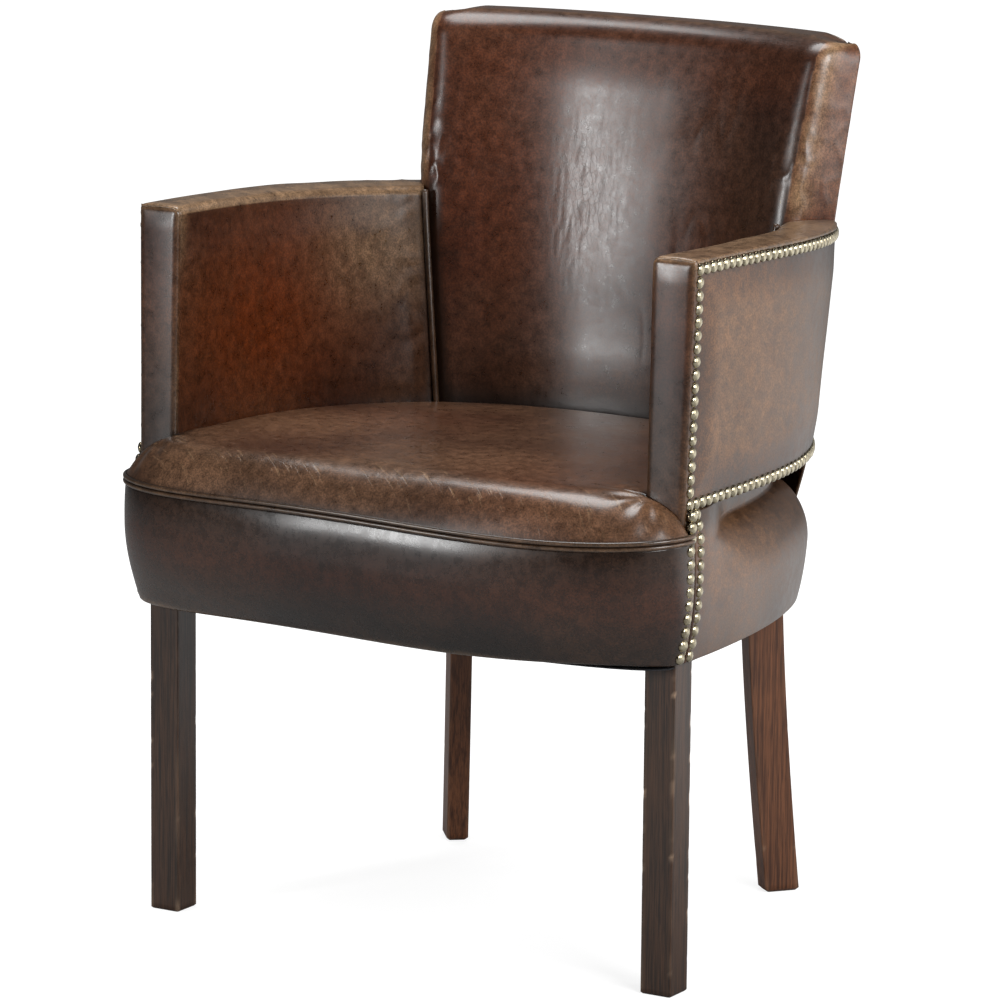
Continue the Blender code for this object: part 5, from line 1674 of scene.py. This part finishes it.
    def column(
        self, turns: tuple[float, float], hand: Side, side_band: bool
    ) -> tuple[np.ndarray, np.ndarray]:
        """Nail places and outward directions of a leaning column at a corner of the drum.

        Args:
            turns: Ray angles of the column at the foot and at the top of the front band.
            hand: The chair's hand.
            side_band: Whether the column is on the side band, where it goes on up to the arm.

        Returns:
            Places, and outward directions.
        """
        form = self.form
        low = form.band_bottom + self.nail_edge
        top = form.welt_bottom - self.nail_edge
        high = form.seat_line - 0.0045 if side_band else top
        count = int(round((high - low) / self.nail_pitch)) + 1
        spots, outs = [], []
        for z in np.linspace(low, high, count):
            turn = turns[0] + (turns[1] - turns[0]) * (z - low) / (top - low)
            rays = np.array([turn - 0.004, turn, turn + 0.004])
            line = form.side_ring(z, rays) if side_band else form.drum_ring(z, rays)
            step = line[2] - line[0]
            out = np.array([step[1], -step[0], 0.0])
            spots.append([line[1, 0], line[1, 1], z])
            outs.append(out / np.linalg.norm(out))
        flip = np.array([hand.value, 1.0, 1.0])
        return self.shifted(np.array(spots) * flip), np.array(outs) * flip

    def front_band(self) -> None:
        """The bowed band under the front piping, with a column of nails at each end."""
        form = self.form
        turns = form.even_turns(-math.pi, 0.0, 300)
        levels = np.linspace(form.band_bottom + 0.0012, form.welt_bottom + 0.001, 60)
        grid = self.shifted(self.band_grid(turns, levels, False))
        z = grid[..., 2]
        wave = 0.0010 * lattice_noise(grid, 0.07, 91)
        wave = wave * smooth_step(z, form.band_bottom, form.band_bottom + 0.02)
        ends = np.minimum(np.abs(turns), np.abs(turns + math.pi))[None, :] * np.ones(z.shape)
        marks = {
            "worn": 0.35 * bump(z, form.band_bottom, 0.003) + 0.4 * bump(ends, 0.0, 0.02),
            "warm": 0.25 * bump(z, 0.375, 0.03),
            # Painted shade: darker at the top, under the piping.
            "deep": 0.5 * smooth_step(z, form.welt_bottom - 0.006, form.welt_bottom),
        }
        inside = (0.0, form.arm_front, 0.37)
        piece = hide_piece("seat_band_front_leather", grid, inside, self.finishes.drum, wave, marks)
        place(piece, "antiqued_leather", "seat_band_front")
        for hand in Side:
            spots, outs = self.column(self.front_column, hand, False)
            share = np.linspace(0.0, 1.0, self.corner_nails + 2)[1:-1, None]
            high = np.array([hand.value * self.corner_top[0], self.corner_top[1], self.corner_top[2]])
            between = spots[-1] * (1.0 - share) + high * share
            spots = np.concatenate([spots, between])
            outs = np.concatenate([outs, np.tile([hand.value * 0.98, -0.20, 0.0], (self.corner_nails, 1))])
            name = f"band_front_nails_{hand.word}"
            nails = dome_row(name, spots - outs * 0.0002, outs, self.finishes.brass, 43)
            place(nails, "antiqued_leather")

    def side_band(self) -> None:
        """The band round the sides and the rear, bulging and rounded in under the arms."""
        form = self.form
        turns = form.even_turns(self.band_gap, math.pi - self.band_gap, 420)
        levels = np.linspace(form.band_bottom + 0.0012, form.seat_line - form.fit, 72)
        grid = self.shifted(self.band_grid(turns, levels, True))
        z = grid[..., 2]
        wave = 0.0010 * lattice_noise(grid, 0.08, 95)
        wave = wave * smooth_step(z, form.band_bottom, form.band_bottom + 0.02)
        ends = np.minimum(np.abs(turns), np.abs(math.pi - turns))[None, :] * np.ones(z.shape)
        marks = {
            "worn": 0.35 * bump(z, form.band_bottom, 0.003) + 0.15 * bump(ends, 0.4, 0.3),
            "warm": 0.8 * bump(z, 0.395, 0.05) * smooth_step(ends, 0.0, 0.15),
            # Painted shade: darker at the top, under the arms, and towards the rear of the drum, turned from
            # the light.
            "deep": 0.7 * smooth_step(z, form.seat_line - 0.030, form.seat_line - 0.008)
            + 0.60 * smooth_step(ends, 0.30, 0.85),
        }
        inside = (0.0, form.arm_front + 0.2, 0.37)
        piece = hide_piece("seat_band_side_leather", grid, inside, self.finishes.outside, wave, marks)
        place(piece, "antiqued_leather", "seat_band_sides")
        for hand in Side:
            spots, outs = self.column(self.side_column, hand, True)
            name = f"band_side_nails_{hand.word}"
            nails = dome_row(name, spots - outs * 0.0002, outs, self.finishes.brass, 47)
            place(nails, "antiqued_leather")


@dataclass
class Legs:
    """Square front legs and sabre rear legs with worn edges."""

    form: ChairForm
    finishes: Finishes
    front_size: float = 0.032
    front_out: float = 0.289
    front_at: float = -0.1913
    rear_wide: float = 0.037
    rear_foot: float = 0.035
    rear_thick: float = 0.022
    rear_turn: float = math.radians(50.7)
    rear_top: tuple[float, float] = (0.1715, 0.1850)
    rear_sweep: float = 0.024
    rear_power: float = 1.4
    edge_radius: float = 0.0014

    def build(self) -> None:
        """Builds the four legs."""
        for side in Side:
            self.front(side)
            self.rear(side)

    @staticmethod
    def rounded_section(
        wide: float, deep: float, radius: float, per_corner: int = 5, per_side: int = 8
    ) -> np.ndarray:
        """A rectangle with rounded corners, as points round it, and how near each is to an edge.

        Args:
            wide: Size along the first direction.
            deep: Size along the second.
            radius: Corner radius.
            per_corner: Points on each corner.
            per_side: Points between corners.

        Returns:
            First and second coordinate, and 1 on the corners falling to 0 on the flats.
        """
        points = []
        half = np.array([wide / 2 - radius, deep / 2 - radius])
        centres = np.array([[1, 1], [-1, 1], [-1, -1], [1, -1]]) * half
        for k, centre in enumerate(centres):
            spin = np.linspace(k * math.pi / 2, (k + 1) * math.pi / 2, per_corner)
            arc = centre + radius * np.stack([np.cos(spin), np.sin(spin)], axis=-1)
            points.append(np.column_stack([arc, np.ones(per_corner)]))
            goal = centres[(k + 1) % 4] + radius * np.array([np.cos(spin[-1]), np.sin(spin[-1])])
            t = np.linspace(0.0, 1.0, per_side + 2)[1:-1, None]
            side = arc[-1] * (1.0 - t) + goal * t
            flat = 1.0 - np.minimum(np.minimum(t, 1.0 - t) * max(wide, deep) / 0.003, 1.0)
            points.append(np.concatenate([side, flat], axis=1))
        return np.concatenate(points)

    def leg(
        self,
        name: str,
        centres: np.ndarray,
        sizes: np.ndarray,
        turn: float,
        stuff: bpy.types.Material,
        node: str,
        seed: int,
    ) -> None:
        """A leg: a rounded section along a line of centres, chipped along its edges.

        Args:
            name: Name of the piece.
            centres: Centre of the section at each height.
            sizes: Width and depth of the section at each height.
            turn: Angle of the section's width from +X.
            stuff: Material.
            node: Solid that the leg stands for.
            seed: Number that picks the chips.
        """
        turned = np.array([[math.cos(turn), math.sin(turn)], [-math.sin(turn), math.cos(turn)]])
        rows, worn = [], []
        for centre, (wide, deep) in zip(centres, sizes):
            shape = self.rounded_section(wide, deep, self.edge_radius)
            flat = shape[:, :2] @ turned
            rows.append(np.column_stack([flat + centre[:2], np.full(len(flat), centre[2])]))
            worn.append(shape[:, 2])
        rows, worn = np.array(rows), np.array(worn)
        chips = np.clip(lattice_noise(rows, (0.03, 0.03, 0.008), seed) - 0.58, 0.0, 1.0) * worn
        rough = 0.5 + 0.5 * lattice_noise(rows, (0.02, 0.02, 0.05), seed + 1)
        middle = centres[:, None, :]
        rows = rows - (rows - middle) * chips[..., None] * np.array([0.05, 0.05, 0.0])
        low = smooth_step(rows[..., 2], 0.05, 0.0)
        marks = {"worn": worn * rough * (0.12 + 0.4 * low) + 1.5 * chips}
        piece = closed_tube(name, rows, stuff, marks)
        place(piece, "dark_stained_beech", node)

    def front(self, side: Side) -> None:
        """A straight square front leg, up to the top of the rail.

        Args:
            side: Hand of the chair.
        """
        z = np.concatenate([[0.0, 0.0015], np.linspace(0.006, self.form.rail_top, 90)])
        half = self.front_size / 2
        x = side.value * (self.front_out - half)
        centres = np.column_stack([np.full(len(z), x), np.full(len(z), self.front_at + half), z])
        size = np.full(len(z), self.front_size)
        size[0] -= 0.003
        self.leg(f"front_leg_{side.word}", centres, np.column_stack([size, size]), 0.0, self.finishes.legs,
                 f"leg_front_{side.word}", 101 + int(side.value))

    def rear(self, side: Side) -> None:
        """A sabre rear leg, which sweeps outwards by a power of its fall below the band.

        Args:
            side: Hand of the chair.
        """
        z = np.concatenate([[0.0, 0.003], np.linspace(0.008, self.form.rail_top, 90)])
        fall = np.clip((self.form.band_bottom - z) / self.form.band_bottom, 0.0, 1.0)
        reach = self.rear_sweep * fall**self.rear_power
        x = side.value * (self.rear_top[0] + math.cos(self.rear_turn) * reach)
        y = self.rear_top[1] + math.sin(self.rear_turn) * reach
        wide = self.rear_wide + (self.rear_foot - self.rear_wide) * fall
        deep = np.full(len(z), self.rear_thick)
        wide[0] -= 0.006
        deep[0] -= 0.006
        turn = self.rear_turn if side is Side.RIGHT else math.pi - self.rear_turn
        self.leg(f"rear_leg_{side.word}", np.column_stack([x, y, z]), np.column_stack([wide, deep]), turn,
                 self.finishes.rear_legs, f"leg_rear_{side.word}", 105 + int(side.value))


@dataclass
class InnerParts:
    """The solids that stay: frame, pads, straps, springs and the cloth under the seat."""

    nodes: dict[str, bpy.types.Object]

    def dress(self) -> None:
        """Gives each kept solid its own finish."""
        stuffs = {
            "plain_beech": PlainStuff("raw_beech", "#C9A57C", "#B08A60", 4.0, 0.6, stretch=(1.0, 0.2, 1.0)),
            "cream_foam": PlainStuff("polyether_foam", "#E4D9B6", "#D5C79C", 1.5, 0.95),
            "jute_webbing": PlainStuff("jute_webbing_cloth", "#A98F67", "#8A704A", 1.2, 0.95),
            "spring_steel": PlainStuff("spring_steel_wire", "#8C8C90", "#6F6F74", 5.0, 0.35, 1.0),
            "black_cambric": PlainStuff("black_cambric_cloth", "#17171A", "#222226", 0.9, 0.95),
        }
        made = {slot: stuff.make() for slot, stuff in stuffs.items()}
        kinds = {
            "dust": "black_cambric",
            "webbing": "jute_webbing",
            "spring": "spring_steel",
            "pad": "cream_foam",
        }
        for name, node in self.nodes.items():
            if node.hide_render:
                continue
            slot = next((value for key, value in kinds.items() if key in name), "plain_beech")
            node.data.materials.clear()
            node.data.materials.append(made[slot])
            LOG.info("%s wears %s", name, slot)


@dataclass(frozen=True)
class Studio:
    """The floor, the lamps, the world and the camera of the photograph."""

    azimuth: float = 0.54411
    elevation: float = 0.19813
    roll: float = 0.00932
    distance: float = 5.86963
    shift_x: float = -0.04095
    shift_y: float = 0.38455
    gauge_y: float = 0.0625
    lens_mm: float = 216.0
    front_edge: float = 0.6
    floor_glow: float = 0.80
    room_light: float = 0.05
    soft_light: float = 0.30

    def build(self) -> None:
        """Builds the studio."""
        self.camera()
        self.floor()
        self.world()
        self.lamps()
        bpy.context.scene.view_settings.view_transform = "Standard"

    def camera(self) -> None:
        """The camera: its place is summed along its own right, up and back directions."""
        az, el = self.azimuth, self.elevation
        right = np.array([math.cos(az), math.sin(az), 0.0])
        back = np.array([math.sin(az) * math.cos(el), -math.cos(az) * math.cos(el), math.sin(el)])
        up = np.cross(back, right)
        turned = math.cos(self.roll) * right + math.sin(self.roll) * up
        lifted = -math.sin(self.roll) * right + math.cos(self.roll) * up
        gauge = np.array([0.0, self.gauge_y, 0.0])
        at = turned * self.shift_x + lifted * self.shift_y + back * self.distance + gauge
        data = bpy.data.cameras.new("camera")
        data.lens = self.lens_mm
        data.sensor_width = 36.0
        camera = bpy.data.objects.new("camera", data)
        basis = np.eye(4)
        basis[:3, 0], basis[:3, 1], basis[:3, 2], basis[:3, 3] = turned, lifted, back, at
        camera.matrix_world = Matrix(basis.tolist())
        bpy.context.scene.collection.objects.link(camera)
        bpy.context.scene.camera = camera

    def floor(self) -> None:
        """A wide pale floor, which is white where the camera, metal and glass look at it.

        For light it is a plain pale surface. In front of the chair, where only glossy leather and metal
        look, it turns to the grey of the room.
        """
        made, tree, shader = new_material("pale_studio_floor")
        shader.inputs["Base Color"].default_value = linear("#9A9A9A")
        shader.inputs["Roughness"].default_value = 0.95
        shader.inputs["Specular IOR Level"].default_value = 0.0
        at = add(tree, "ShaderNodeTexCoord").outputs["Object"]
        parts = add(tree, "ShaderNodeSeparateXYZ", Vector=at).outputs
        rearwards = ramp(tree, parts["Y"], self.front_edge - 0.4, self.front_edge + 0.4)
        behind = product(tree, ramp(tree, parts["X"], -0.8, 0.9), rearwards)
        seen = self.seen(tree, behind)
        away = add(tree, "ShaderNodeVectorMath", {"operation": "LENGTH"}, n0=at).outputs["Value"]
        glow = add(tree, "ShaderNodeMapRange", Value=ramp(tree, away, 0.5, 1.6))
        glow.inputs["To Min"].default_value = self.floor_glow
        shader.inputs["Emission Color"].default_value = (1.0, 1.0, 1.0, 1.0)
        tree.links.new(product(tree, seen, glow.outputs[0]), shader.inputs["Emission Strength"])
        size = 40.0
        points = np.array([[-size, -size, 0.0], [size, -size, 0.0], [size, size, 0.0], [-size, size, 0.0]])
        floor = put_mesh("studio_floor", points, [[0, 1, 2, 3]], made)

    def seen(self, tree: bpy.types.NodeTree, towards: bpy.types.NodeSocket) -> bpy.types.NodeSocket:
        """How white the backdrop is: 1 for the camera, a share for glossy and transmitted rays.

        Args:
            tree: Node tree that gets the nodes.
            towards: Socket with the share, which says where such rays look.

        Returns:
            The socket.
        """
        path = add(tree, "ShaderNodeLightPath").outputs
        bounced = product(tree, path["Is Glossy Ray"], path["Is Transmission Ray"], "ADD")
        return product(tree, path["Is Camera Ray"], product(tree, bounced, towards), "ADD")

    def world(self) -> None:
        """A white backdrop behind the chair, a dim room behind the camera and a soft grey light.

        Only the camera sees the white everywhere. Glossy and transmitted rays see it behind the chair
        and low, so that metal and waxed leather shine at their rims.
        """
        world = bpy.data.worlds.new("studio_world")
        bpy.context.scene.world = world
        world.use_nodes = True
        tree = world.node_tree
        ground = tree.nodes["Background"]
        way = add(tree, "ShaderNodeTexCoord").outputs["Generated"]
        parts = add(tree, "ShaderNodeSeparateXYZ", Vector=way).outputs
        lit = add(tree, "ShaderNodeMapRange", Value=ramp(tree, parts["X"], -0.15, 0.55))
        lit.inputs["To Min"].default_value = 0.15
        level = product(tree, lit.outputs[0], ramp(tree, parts["Z"], 0.80, 0.20))
        seen = self.seen(tree, product(tree, level, ramp(tree, parts["Y"], -0.05, 0.7)))
        path = add(tree, "ShaderNodeLightPath").outputs
        soft = product(tree, path["Is Diffuse Ray"], self.soft_light)
        dim = product(tree, product(tree, soft, seen, "ADD"), self.room_light, "MAXIMUM")
        tree.links.new(dim, ground.inputs["Strength"])
        ground.inputs["Color"].default_value = (1.0, 1.0, 1.0, 1.0)

    def lamps(self) -> None:
        """A broad key from the right, a tall strip from the left front and a weak lamp above."""
        for name, at, size, power in (
            ("key_lamp", (2.9, -1.3, 2.1), (1.5, 1.5), 105.0),
            ("side_lamp", (3.1, 0.7, 1.5), (1.2, 1.6), 30.0),
            ("strip_lamp", (-1.42, -2.95, 1.05), (0.38, 1.1), 42.0),
            ("top_lamp", (-0.4, 0.3, 3.0), (1.6, 1.6), 60.0),
        ):
            data = bpy.data.lights.new(name, "AREA")
            data.shape = "RECTANGLE"
            data.size, data.size_y = size
            data.energy = power
            lamp = bpy.data.objects.new(name, data)
            lamp.location = at
            aim = Vector((0.0, 0.0, 0.45)) - Vector(at)
            lamp.rotation_euler = aim.to_track_quat("-Z", "Y").to_euler()
            bpy.context.scene.collection.objects.link(lamp)


def main() -> None:
    """Builds the chair's looks round the frame, part by part."""
    logging.basicConfig(level=logging.INFO, format="%(name)s: %(message)s")
    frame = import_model()
    Studio().build()
    finishes = Finishes.make()
    for side in Side:
        Arm(side, FORM, finishes).build()
    Back(FORM, finishes).build()
    Seat(FORM, finishes).build()
    Legs(FORM, finishes).build()
    InnerParts(frame["nodes"]).dress()


if __name__ == "__main__":
    main()
